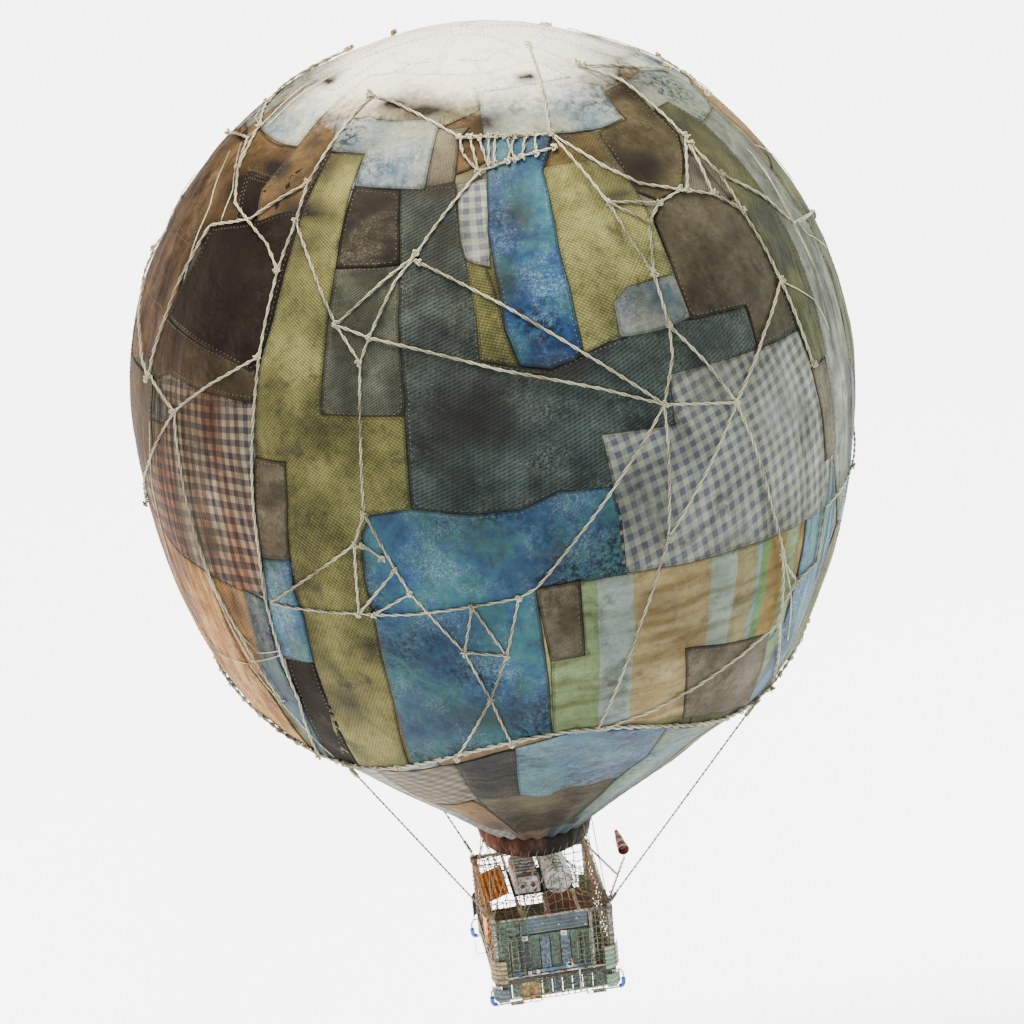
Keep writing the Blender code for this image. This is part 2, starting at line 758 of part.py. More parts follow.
def make_windsock(steel, cloth, rails):
    """The leaning pole and its brace, and the swivelling hoop with the sock."""
    pole = bent_bar("windsock_pole", [
        (HALF_X, POLE_Y, RIM_Z + 0.010),
        (POLE_X - 0.03, POLE_Y, POLE_TOP - 0.07),
        (POLE_X, POLE_Y, POLE_TOP - 0.03),
        (POLE_X, POLE_Y, POLE_TOP),
    ], POLE_R, steel)
    seat(pole, rails["right"])
    joint = Vector((HALF_X + 0.203, POLE_Y, -8.21))
    brace = bar("windsock_brace", (HALF_X, 1.10, RIM_Z + 0.012), joint, 0.011, steel, sides=8)
    seat(brace, rails["right"], pole)
    turn = Matrix.Rotation(math.radians(90), 4, "X")
    hoop = ring("windsock_hoop", (POLE_X, POLE_Y, SOCK_Z), SOCK_R, 0.006, steel, sides=(20, 8), turn=turn)
    stem = bar(
        "windsock_stem", (POLE_X, POLE_Y, POLE_TOP + GAP), (POLE_X, POLE_Y, SOCK_Z - SOCK_R), 0.007, steel,
        sides=8, edge=(1, 0, 0),
    )
    weld(hoop, stem, solver="MANIFOLD")
    profile = [(SOCK_R, 0.0), (SOCK_R * 0.86, -0.25), (SOCK_R * 0.62, -0.5)]
    profile.append((SOCK_R * 0.32, -SOCK_LENGTH + 0.01))
    mesh = turned("windsock", profile, 16)
    mesh.transform(Matrix.Rotation(math.radians(90), 4, "X"))
    mesh.transform(Matrix.Translation((POLE_X, POLE_Y + 0.0065, SOCK_Z)))
    mesh.shade_smooth()
    sock = add_object("windsock", mesh, cloth)
    solidify(sock, 0.003, -1)


clear_scene()
PARTS = collection("hot_air_balloon")
CUTTERS = collection("cutters")

patchwork = material("patchwork_cloth", (0.42, 0.40, 0.30), 0.9)
dark_hide = material("dark_hide", (0.05, 0.035, 0.025), 0.7)
hemp = material("hemp_rope", (0.20, 0.18, 0.10), 0.95)
rusty_steel = material("rusty_steel", (0.22, 0.11, 0.06), 0.8, 0.4)
old_wood = material("weathered_wood", (0.30, 0.20, 0.12), 0.85)
white_paint = material("chipped_white_paint", (0.80, 0.80, 0.78), 0.45)
green_paint = material("worn_green_paint", (0.20, 0.26, 0.16), 0.7)
blue_paint = material("worn_blue_paint", (0.25, 0.38, 0.42), 0.6)
orange_paint = material("worn_orange_paint", (0.72, 0.25, 0.08), 0.6)
striped_paint = material("striped_paint", (0.14, 0.34, 0.52), 0.55)
cream_paint = material("cream_paint", (0.60, 0.52, 0.30), 0.6)
mint_paint = material("mint_paint", (0.38, 0.60, 0.44), 0.6)
red_crate = material("rust_red_boards", (0.35, 0.08, 0.04), 0.8)
red_white = material("red_and_white_cloth", (0.70, 0.12, 0.08), 0.8)

make_envelope(patchwork)
make_mouth_cone(patchwork)
load_ring = make_load_ring(hemp)
make_skirt(dark_hide)
hoop = ring(
    "mouth_hoop", (0, 0, SKIRT_Z - GAP - HOOP_TUBE), HOOP_R, HOOP_TUBE, dark_hide, sides=(SEGMENTS, 8),
)
posts, rails = make_frame(white_paint, old_wood)
make_stays(hemp, load_ring, posts)
make_mouth_stays(hemp, hoop, rails)
make_floor(old_wood)
make_skid_frame(blue_paint)
make_apron(green_paint, orange_paint)
make_gate(green_paint, rusty_steel, blue_paint, white_paint)
make_hinge(white_paint, white_paint)
make_front_panels(striped_paint, green_paint, blue_paint)
make_nets(hemp)
make_fenders(cream_paint, blue_paint, mint_paint)
make_burner(white_paint, rusty_steel, white_paint, white_paint)
make_lid(orange_paint)
make_side_panel(orange_paint)
make_crate(red_crate)
make_windsock(white_paint, red_white, rails)
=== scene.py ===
import math
import random

import bpy
from mathutils import Matrix, Vector, noise
from mathutils.geometry import delaunay_2d_cdt


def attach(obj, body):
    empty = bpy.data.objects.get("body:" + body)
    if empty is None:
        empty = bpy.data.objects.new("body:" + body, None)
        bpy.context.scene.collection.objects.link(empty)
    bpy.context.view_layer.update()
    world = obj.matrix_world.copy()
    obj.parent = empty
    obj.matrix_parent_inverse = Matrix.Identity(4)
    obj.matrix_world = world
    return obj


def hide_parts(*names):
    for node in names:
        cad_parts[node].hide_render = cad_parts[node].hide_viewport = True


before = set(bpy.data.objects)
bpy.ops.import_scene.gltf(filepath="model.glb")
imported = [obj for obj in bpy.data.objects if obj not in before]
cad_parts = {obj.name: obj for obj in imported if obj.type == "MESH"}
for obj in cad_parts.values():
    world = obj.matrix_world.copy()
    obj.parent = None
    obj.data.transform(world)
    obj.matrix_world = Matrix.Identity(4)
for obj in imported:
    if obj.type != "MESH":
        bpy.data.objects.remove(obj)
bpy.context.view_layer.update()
random.seed(11)
bpy.ops.object.select_all(action="DESELECT")

# The camera
# It stands about 50 m off, a little left of the gondola's front, and looks
# down at the balloon by 21 degrees, with the head tilted by 5.

looking = Vector((0.10714, 0.92822, -0.35627))
level = looking.cross(Vector((0, 0, 1))).normalized()
upright = level.cross(looking)
head_tilt = math.radians(-5.313)
across = level * math.cos(head_tilt) + upright * math.sin(head_tilt)
above = upright * math.cos(head_tilt) - level * math.sin(head_tilt)
bpy.ops.object.camera_add(location=(-5.0819, -44.9993, 15.1324))
camera = bpy.context.object
camera.matrix_world = Matrix.LocRotScale(
    camera.location,
    Matrix((across, above, -looking)).transposed().to_quaternion(),
    None,
)
camera.data.lens = 107.69
camera.data.sensor_width = 36
camera.data.clip_end = 1000
bpy.context.scene.camera = camera


# The envelope's cloth
# Scraps of sackcloth, canvas, gingham and hide, sewn edge over edge into one
# big bag. It is full of hot air, so every scrap is stretched to the round
# form, and each one lies a little proud of the scraps that it was sewn onto.


def linear(code, alpha=1.0):
    """A hex colour of the screen as the linear colour that shaders take."""
    parts = [int(code[place : place + 2], 16) / 255 for place in (0, 2, 4)]
    return [
        part / 12.92 if part < 0.04045 else ((part + 0.055) / 1.055) ** 2.4
        for part in parts
    ] + [alpha]


def new_finish(name, roughness=0.8, metallic=0.0, **sockets):
    """A material with its Principled shader, and what is the same all over it."""
    finish = bpy.data.materials.new(name)
    finish.use_nodes = True
    shader = finish.node_tree.nodes["Principled BSDF"]
    shader.inputs["Roughness"].default_value = roughness
    shader.inputs["Metallic"].default_value = metallic
    for socket, value in sockets.items():
        shader.inputs[socket.replace("_", " ")].default_value = value
    return finish, shader


def add_node(finish, kind, links=(), settings=(), **values):
    """A shader node, with its settings, its plain values and what feeds it."""
    node = finish.node_tree.nodes.new("ShaderNode" + kind)
    for name, value in dict(settings).items():
        setattr(node, name, value)
    for name, value in values.items():
        node.inputs[name.replace("_", " ")].default_value = value
    for socket, source in dict(links).items():
        finish.node_tree.links.new(source, node.inputs[socket])
    return node


def add_ramp(finish, source, stops, interpolation="LINEAR"):
    """A colour ramp over a value: each stop is a place and a hex colour."""
    ramp = add_node(finish, "ValToRGB", {"Fac": source})
    ramp.color_ramp.interpolation = interpolation
    while len(ramp.color_ramp.elements) < len(stops):
        ramp.color_ramp.elements.new(0.5)
    for element, (place, code) in zip(ramp.color_ramp.elements, stops):
        element.position = place
        element.color = linear(code)
    return ramp.outputs["Color"]


def blend_over(finish, amount, under, over, way="MIX"):
    """One colour over another, by a plain amount or by a node's value."""
    mix = add_node(finish, "Mix", settings={"data_type": "RGBA", "blend_type": way})
    mix.clamp_result = False
    for place, value in ((0, amount), (6, under), (7, over)):
        if isinstance(value, bpy.types.NodeSocket):
            finish.node_tree.links.new(value, mix.inputs[place])
        elif isinstance(value, str):
            mix.inputs[place].default_value = linear(value)
        else:
            mix.inputs[place].default_value = value
    return mix.outputs[2]


def add_math(finish, operation, first, second=0.0, third=None, clamp=False):
    """One sum on two or three values, each a number or a node's value."""
    node = add_node(finish, "Math", settings={"operation": operation, "use_clamp": clamp})
    for place, value in enumerate((first, second, third)):
        if isinstance(value, bpy.types.NodeSocket):
            finish.node_tree.links.new(value, node.inputs[place])
        elif value is not None:
            node.inputs[place].default_value = value
    return node.outputs[0]


def weathered(finish, shader, colour, height, strength, grip=1.0, drape=1.0):
    """Dirt, bleaching and the cut edge, which every scrap of the bag has alike.
    The crown is whitened, partly sun bleaching and partly a painted highlight from
    above; below it lie stains and painted shade of folds and dents, with dark
    smudges. Painted shade lies in the sides' fold valleys and towards the mouth,
    the left side has an orange tint, partly rust and partly painted warm light,
    and the cut edges are frayed, with a painted shadow along each scrap's edge."""
    place = add_node(finish, "TexCoord").outputs["Object"]
    edge = add_node(finish, "Attribute", settings={"attribute_name": "edge"})
    tone = add_node(finish, "Attribute", settings={"attribute_name": "tone"})
    tint = add_ramp(finish, tone.outputs["Fac"], [(0.0, "a39d90"), (0.5, "dcd8d0"), (1.0, "ffffff")])
    colour = blend_over(finish, 0.8, colour, tint, "MULTIPLY")
    cloud = add_node(finish, "TexNoise", {"Vector": place}, Scale=0.55, Detail=7.0, Roughness=0.6)
    shade = add_ramp(
        finish, cloud.outputs["Fac"], [(0.34, "4a463c"), (0.48, "b9b5a8"), (0.6, "ffffff")]
    )
    colour = blend_over(finish, 0.7 * grip, colour, shade, "MULTIPLY")
    grime = add_node(finish, "TexNoise", {"Vector": place}, Scale=9.0, Detail=9.0, Roughness=0.7)
    speck = add_ramp(finish, grime.outputs["Fac"], [(0.36, "767167"), (0.5, "efece6"), (0.66, "ffffff")])
    colour = blend_over(finish, 0.45 * grip, colour, speck, "MULTIPLY")
    blot = add_node(
        finish, "TexNoise", {"Vector": place}, Scale=1.9, Detail=9.0, Roughness=0.68, Distortion=0.4
    )
    mask = add_ramp(finish, blot.outputs["Fac"], [(0.56, "000000"), (0.66, "ffffff")])
    mask = add_math(finish, "MULTIPLY", mask, 0.65 * grip)
    colour = blend_over(finish, mask, colour, "2b261f")
    split = add_node(finish, "SeparateXYZ", {"Vector": place})
    wander = add_math(finish, "MULTIPLY_ADD", cloud.outputs["Fac"], 2.0, -1.0)
    sides = add_node(
        finish, "MapRange", {"Value": add_math(finish, "ABSOLUTE", split.outputs["X"])},
        From_Min=3.6, From_Max=5.2, To_Min=0.12, To_Max=1.0,
    ).outputs[0]
    folds = add_node(finish, "Mapping", {"Vector": place}, Scale=(2.4, 2.4, 0.16))
    folds = add_node(
        finish, "TexNoise", {"Vector": folds.outputs["Vector"]}, Scale=1.5, Detail=3.0, Distortion=0.3
    ).outputs["Fac"]
    # Painted shade in the valleys of vertical folds, strongest on the bag's left and right sides.
    valley_shade = add_ramp(finish, folds, [(0.38, "4b3826"), (0.5, "e8e0d2"), (0.58, "ffffff")])
    colour = blend_over(finish, add_math(finish, "MULTIPLY", sides, 0.75 * drape), colour,
                        blend_over(finish, 1.0, colour, valley_shade, "MULTIPLY"))
    # An orange tint over the left side: partly rust stain, partly painted warm light from the left.
    side = add_math(finish, "MULTIPLY_ADD", split.outputs["Y"], 0.1, split.outputs["X"])
    side = add_math(finish, "ADD", side, add_math(finish, "MULTIPLY", wander, 0.8))
    rust = add_node(
        finish, "MapRange", {"Value": side}, {"interpolation_type": "SMOOTHSTEP"},
        From_Min=-4.1, From_Max=-5.6, To_Min=0.0, To_Max=0.6,
    )
    rusty = blend_over(finish, 0.75, colour, "dfa35c", "MULTIPLY")
    colour = blend_over(finish, rust.outputs[0], colour, rusty)
    # The cut edge: a painted shadow, darkest at the very edge where the scrap stands over the one below, inside it a
    # pale worn line, then a darker line by the stitches.
    fray_and_edge_shadow = add_ramp(
        finish, edge.outputs["Fac"],
        [(0.0, "ffffff"), (0.38, "a8a297"), (0.56, "f4f1ea"), (0.74, "8f8a80"), (1.0, "14120f")],
    )
    colour = blend_over(finish, 0.85, colour, fray_and_edge_shadow, "MULTIPLY")
    # Painted shade: the cloth darkens towards the mouth, in the bag's shadow.
    mouth = add_node(
        finish, "MapRange", {"Value": split.outputs["Z"]}, From_Min=-4.3, From_Max=-7.2, To_Max=0.7
    )
    colour = blend_over(finish, mouth.outputs[0], colour,
                        blend_over(finish, 1.0, colour, "6f6553", "MULTIPLY"))
    # The crown whitens: partly sun bleaching, partly a painted highlight of the light from above.
    ragged = add_math(finish, "MULTIPLY_ADD", grime.outputs["Fac"], 0.5, -0.25)
    high = add_math(finish, "MULTIPLY_ADD", wander, 0.5, split.outputs["Z"])
    crown = add_node(
        finish, "MapRange", {"Value": add_math(finish, "ADD", high, ragged)},
        {"interpolation_type": "SMOOTHSTEP"}, From_Min=4.8, From_Max=5.5, To_Min=0.0, To_Max=0.95,
    )
    colour = blend_over(finish, crown.outputs[0], colour, "f8f4e8")
    # Painted shade of folds and dents, with dark smudges, from each point's darkening, broken up by the grime.
    fold_shade_and_smudge = add_node(finish, "Attribute", settings={"attribute_name": "darkening"}).outputs["Fac"]
    patchy = add_math(finish, "MULTIPLY_ADD", grime.outputs["Fac"], 1.6, 0.75)
    fold_shade_and_smudge = add_math(finish, "MULTIPLY", fold_shade_and_smudge, patchy, clamp=True)
    colour = blend_over(finish, fold_shade_and_smudge, colour, "1d1711")
    crease = add_node(
        finish, "TexNoise", {"Vector": place}, Scale=1.7, Detail=5.0, Roughness=0.5, Distortion=1.4
    )
    rise = add_math(finish, "MULTIPLY_ADD", crease.outputs["Fac"], 0.07, height)
    rise = add_math(finish, "MULTIPLY_ADD", add_math(finish, "MULTIPLY", folds, sides), 0.3 * drape, rise)
    bump = add_node(finish, "Bump", {"Height": rise}, Strength=strength, Distance=1.0)
    finish.node_tree.links.new(colour, shader.inputs["Base Color"])
    finish.node_tree.links.new(bump.outputs["Normal"], shader.inputs["Normal"])


def weave_bands(finish, spacing, slant=0.0, tilt=1.0):
    """Threads that run one way over a cloth's own UV map, which is in metres."""
    cloth = add_node(finish, "UVMap", settings={"uv_map": "weave"})
    turn = add_node(finish, "Mapping", {"Vector": cloth.outputs["UV"]}, Rotation=(0, 0, slant))
    wave = add_node(
        finish, "TexWave", {"Vector": turn.outputs["Vector"]}, {"bands_direction": "X"},
        Scale=math.pi / 10 / spacing / tilt, Distortion=0.35, Detail=2.0, Detail_Scale=1.5,
    )
    return wave.outputs["Fac"]


# Sackcloth: coarse jute, dull and dry, its threads standing proud. The real
# thread is 4 mm; it is drawn ten times as coarse, as in the photo, to show.
def sackcloth(name, pale, dark, spacing=0.042):
    finish, shader = new_finish(name, 0.92, Sheen_Weight=0.05, Specular_IOR_Level=0.2)
    warp = weave_bands(finish, spacing * 0.8, math.radians(-68))
    weft = weave_bands(finish, spacing, math.radians(28))
    knit = add_math(finish, "MULTIPLY_ADD", warp, 0.25, add_math(finish, "MULTIPLY", warp, weft))
    cloth = add_node(finish, "UVMap", settings={"uv_map": "weave"})
    slub = add_node(finish, "TexNoise", {"Vector": cloth.outputs["UV"]}, Scale=1.3, Detail=8.0)
    colour = add_ramp(finish, slub.outputs["Fac"], [(0.36, dark), (0.58, pale)])
    gaps = add_ramp(finish, knit, [(0.0, "807b62"), (0.7, "ffffff")])
    colour = blend_over(finish, 0.7, colour, gaps, "MULTIPLY")
    height = add_math(finish, "MULTIPLY", knit, 0.008)
    weathered(finish, shader, colour, height, 0.8)
    return finish


# Twill canvas: a slanting rib, woven tight and gone dull with dirt.
def twill(name, pale, dark, spacing=0.034, slant=55, scrape=None, grip=1.0):
    finish, shader = new_finish(name, 0.85, Sheen_Weight=0.04, Specular_IOR_Level=0.2)
    rib = weave_bands(finish, spacing, math.radians(slant))
    weft = weave_bands(finish, spacing * 1.3, math.radians(slant - 62))
    knit = add_math(finish, "MULTIPLY_ADD", weft, 0.4, rib)
    cloth = add_node(finish, "UVMap", settings={"uv_map": "weave"})
    cloud = add_node(finish, "TexNoise", {"Vector": cloth.outputs["UV"]}, Scale=1.9, Detail=7.0)
    colour = add_ramp(finish, cloud.outputs["Fac"], [(0.35, dark), (0.66, pale)])
    ribs = add_ramp(finish, knit, [(0.15, "66645c"), (0.9, "ffffff")])
    colour = blend_over(finish, 0.7, colour, ribs, "MULTIPLY")
    if scrape:
        colour = scraped(finish, colour, cloth.outputs["UV"], scrape)
    height = add_math(finish, "MULTIPLY", knit, 0.006)
    weathered(finish, shader, colour, height, 0.7, grip)
    return finish


def scraped(finish, colour, cloth, code, amount=0.6):
    """Short pale scratches in all directions, bunched together in places."""
    bunch = add_node(finish, "TexNoise", {"Vector": cloth}, Scale=1.1, Detail=6.0, Roughness=0.7)
    bunch = add_ramp(finish, bunch.outputs["Fac"], [(0.47, "000000"), (0.66, "ffffff")])
    for slant, grain in ((38, 75.0), (-41, 90.0), (80, 66.0), (4, 82.0)):
        turn = add_node(
            finish, "Mapping", {"Vector": cloth}, {"vector_type": "TEXTURE"},
            Rotation=(0, 0, math.radians(slant)), Scale=(6.0, 1.0, 1.0),
        )
        line = add_node(
            finish, "TexNoise", {"Vector": turn.outputs["Vector"]}, Scale=grain, Detail=3.0,
            Distortion=0.4,
        )
        line = add_ramp(finish, line.outputs["Fac"], [(0.56, "000000"), (0.66, "ffffff")])
        marks = add_math(finish, "MULTIPLY", line, bunch)
        marks = add_math(finish, "MULTIPLY", marks, amount)
        colour = blend_over(finish, marks, colour, code)
    return colour


# Painted canvas: blue paint, cracked and rubbed, with green and dark blots.
def painted_canvas(name, mid, deep, green, scrape):
    finish, shader = new_finish(name, 0.7, Specular_IOR_Level=0.25)
    cloth = add_node(finish, "UVMap", settings={"uv_map": "weave"}).outputs["UV"]
    cloud = add_node(finish, "TexNoise", {"Vector": cloth}, Scale=0.9, Detail=9.0, Roughness=0.68)
    colour = add_ramp(
        finish, cloud.outputs["Fac"], [(0.34, deep), (0.47, mid), (0.56, green), (0.68, mid)]
    )
    grain = add_node(finish, "TexNoise", {"Vector": cloth}, Scale=9.0, Detail=9.0, Roughness=0.75)
    blots = add_ramp(finish, grain.outputs["Fac"], [(0.47, "ffffff"), (0.54, "2c5068")])
    patch = add_node(finish, "TexNoise", {"Vector": cloth}, Scale=0.62, Detail=4.0)
    patch = add_ramp(finish, patch.outputs["Fac"], [(0.47, "000000"), (0.6, "ffffff")])
    colour = blend_over(finish, patch, colour, blend_over(finish, 1.0, colour, blots, "MULTIPLY"))
    colour = scraped(finish, colour, cloth, scrape, 0.75)
    height = add_math(finish, "MULTIPLY", grain.outputs["Fac"], 0.012)
    weathered(finish, shader, colour, height, 0.7, 0.75)
    return finish


# Hide: dull brown leather, scuffed, with a fine pebbled grain.
def hide(name, pale, dark, scrape="a99f8c"):
    finish, shader = new_finish(name, 0.78, Specular_IOR_Level=0.12)
    cloth = add_node(finish, "UVMap", settings={"uv_map": "weave"}).outputs["UV"]
    cloud = add_node(finish, "TexNoise", {"Vector": cloth}, Scale=1.1, Detail=7.0, Roughness=0.6)
    colour = add_ramp(finish, cloud.outputs["Fac"], [(0.32, dark), (0.68, pale)])
    colour = scraped(finish, colour, cloth, scrape, 0.35)
    grain = add_node(finish, "TexVoronoi", {"Vector": cloth}, Scale=26.0)
    height = add_math(finish, "MULTIPLY", grain.outputs["Distance"], 0.006)
    weathered(finish, shader, colour, height, 0.6, drape=0.35)
    return finish


# Gingham: cotton woven in big checks of 10 cm, grey-lilac and cream.
def gingham(name, cream, mid, deep, check=0.092, stain=None):
    finish, shader = new_finish(name, 0.88, Sheen_Weight=0.04, Specular_IOR_Level=0.2)
    cloth = add_node(finish, "UVMap", settings={"uv_map": "weave"}).outputs["UV"]
    drift = add_node(finish, "TexNoise", {"Vector": cloth}, Scale=0.7, Detail=2.0)
    bent = add_node(
        finish, "VectorMath", {0: drift.outputs["Color"], 2: cloth}, {"operation": "MULTIPLY_ADD"}
    )
    bent.inputs[1].default_value = (0.12, 0.12, 0.0)
    split = add_node(finish, "SeparateXYZ", {"Vector": bent.outputs[0]})
    checks = 0.0
    for side in ("X", "Y"):
        run = add_math(finish, "DIVIDE", split.outputs[side], 2 * check)
        run = add_math(finish, "FRACT", run)
        step = add_math(finish, "SUBTRACT", run, 0.5)
        step = add_math(finish, "MULTIPLY", add_math(finish, "ABSOLUTE", step), 26.0)
        step = add_math(finish, "SUBTRACT", step, 6.0, clamp=True)
        checks = add_math(finish, "MULTIPLY_ADD", step, 0.5, checks)
    colour = add_ramp(finish, checks, [(0.0, cream), (0.5, mid), (1.0, deep)])
    faded = add_node(finish, "TexNoise", {"Vector": cloth}, Scale=0.75, Detail=5.0)
    faded = add_ramp(finish, faded.outputs["Fac"], [(0.5, "000000"), (0.64, "c0c0c0")])
    colour = blend_over(finish, faded, colour, mid)
    weave = add_math(finish, "MULTIPLY", weave_bands(finish, 0.02), weave_bands(finish, 0.02, math.pi / 2))
    fine = add_ramp(finish, weave, [(0.0, "c8c6bf"), (0.4, "ffffff")])
    colour = blend_over(finish, 0.6, colour, fine, "MULTIPLY")
    if stain:
        run = add_node(finish, "Mapping", {"Vector": cloth})
        run.inputs["Scale"].default_value = (1.0, 0.22, 1.0)
        soak = add_node(finish, "TexNoise", {"Vector": run.outputs["Vector"]}, Scale=1.2, Detail=5.0)
        soak = add_ramp(finish, soak.outputs["Fac"], [(0.42, "000000"), (0.58, "ffffff")])
        soak = add_math(finish, "MULTIPLY", soak, 0.8)
        colour = blend_over(finish, soak, colour, stain, "MULTIPLY")
    height = add_math(finish, "MULTIPLY", weave, 0.004)
    weathered(finish, shader, colour, height, 0.7, 0.85)
    return finish


# Striped awning cloth: wide sewn bands of green, pale blue, cream and ochre.
def awning_cloth(name, bands, width):
    finish, shader = new_finish(name, 0.87, Sheen_Weight=0.04, Specular_IOR_Level=0.2)
    cloth = add_node(finish, "UVMap", settings={"uv_map": "weave"}).outputs["UV"]
    drift = add_node(finish, "TexNoise", {"Vector": cloth}, Scale=0.9, Detail=3.0)
    split = add_node(finish, "SeparateXYZ", {"Vector": cloth})
    side = add_math(finish, "MULTIPLY_ADD", drift.outputs["Fac"], 0.16, split.outputs["X"])
    run = add_math(finish, "FRACT", add_math(finish, "DIVIDE", side, width))
    colour = add_ramp(finish, run, bands, "CONSTANT")
    drag = add_node(finish, "Mapping", {"Vector": cloth})
    drag.inputs["Scale"].default_value = (0.35, 2.4, 1.0)
    grime = add_node(finish, "TexNoise", {"Vector": drag.outputs["Vector"]}, Scale=2.2, Detail=7.0)
    dirty = add_ramp(finish, grime.outputs["Fac"], [(0.36, "9a8253"), (0.55, "ffffff")])
    colour = blend_over(finish, 0.6, colour, dirty, "MULTIPLY")
    weave = add_math(finish, "MULTIPLY", weave_bands(finish, 0.024), weave_bands(finish, 0.024, math.pi / 2))
    height = add_math(finish, "MULTIPLY", weave, 0.005)
    weathered(finish, shader, colour, height, 0.8, 0.8)
    return finish


awning_bands = [
    (0.0, "a3bd88"), (0.205, "bccfcb"), (0.33, "cdb884"), (0.63, "bccfc4"),
    (0.735, "b9ae7c"), (0.835, "8fbcd0"), (0.855, "83ad62"), (0.905, "b8964a"),
]
cloths = {
    "burlap": sackcloth("jute_sackcloth", "a8a666", "747548", 0.05),
    "ochre": sackcloth("ochre_sackcloth", "d0a05a", "9c7a48"),
    "olive": twill("olive_canvas", "8b8c50", "5a5b30", 0.03),
    "slate": twill("slate_twill", "4b5650", "2a312e", 0.052, scrape="7b8478", grip=0.8),
    "grey_green": twill("grey_green_canvas", "82877a", "555b4d", 0.034, scrape="a9ab9a"),
    "grey_cloth": twill("grey_canvas", "b4b6aa", "7d8177", 0.03),
    "pale_blue": painted_canvas("pale_blue_canvas", "8797a0", "456582", "a9b3a4", "e6e8e0"),
    "blue": painted_canvas("blue_painted_canvas", "376386", "20466c", "427a7e", "9cb9cd"),
    "deep_blue": painted_canvas("deep_blue_canvas", "1f4a78", "10325a", "2f6c78", "8fb2cf"),
    "teal": painted_canvas("teal_painted_canvas", "5c9194", "317585", "8fa578", "c4dcd6"),
    "brown": hide("brown_hide", "786e5b", "4e4538"),
    "old_brown": hide("old_brown_hide", "72664c", "453f30"),
    "tan_leather": hide("tan_hide", "866a45", "241a12"),
    "tan_strip": twill("tan_canvas", "ab8650", "634e2d", 0.03),
    "old_tan": sackcloth("faded_sackcloth", "ab9556", "756840"),
    "dark_leather": hide("dark_hide_patch", "241c15", "0f0c09", "4a4136"),
    "dark_hide": hide("black_hide_patch", "3f3a33", "211e1a"),
    "gingham": gingham("lilac_gingham", "d6dcc8", "adb6b2", "7b7e92", 0.092),
    "gingham_small": gingham("tan_gingham", "dcd2bb", "b5a692", "8b7f74", 0.092),
    "gingham_warm": gingham("stained_gingham", "e0d9b8", "8c8b8a", "464a5c", 0.092, stain="b9662c"),
    "stripes": awning_cloth("awning_cloth", awning_bands, 4.0),
    "bleached": twill("bleached_canvas", "d2cd9e", "a09a70", 0.03, grip=0.9),
    "cream": twill("cream_canvas", "ccc8b6", "98937f", 0.03),
    "cream_fold": twill("cream_sailcloth", "e6bd6c", "9c6c2c", 0.03),
}


envelope_radius = 5.6
envelope_drop = 7.3
neck_radius = 0.93
neck_height = -7.44
scrap_lift = 0.007
scrap_thickness = 0.006
edge_width = 0.055


def hem_height(azimuth):
    """The hem hangs in four swags, lowest over the gondola's corners."""
    return -4.24 + 0.41 * math.cos(math.radians(4 * azimuth))


def hem_climb(azimuth):
    return math.degrees(math.asin(hem_height(azimuth) / envelope_drop))


def crumple(point, azimuth, above_hem):
    """How far folds and blown-out scraps move the cloth in and out."""
    swell = noise.noise(point * 0.55) * 0.035 + noise.noise(point * 1.9) * 0.012
    fold = abs(noise.noise(Vector((azimuth * 0.16, point.z * 0.22, 3.0)))) * 0.035
    pleat = math.sin(math.radians(azimuth * 38)) * 0.012
    return (swell - fold) * min(1.0, above_hem / 8) + pleat * math.exp(-above_hem / 7)


def skin_point(azimuth, climb):
    """A point of the smooth bag, in degrees round and up, and the way out of it."""
    turn = math.radians(azimuth)
    rise = math.radians(climb)
    drop = envelope_radius if climb > 0 else envelope_drop
    wide = envelope_radius * math.cos(rise)
    point = Vector((wide * math.cos(turn), wide * math.sin(turn), drop * math.sin(rise)))
    out = Vector((point.x, point.y, point.z * (envelope_radius / drop) ** 2)).normalized()
    return point, out


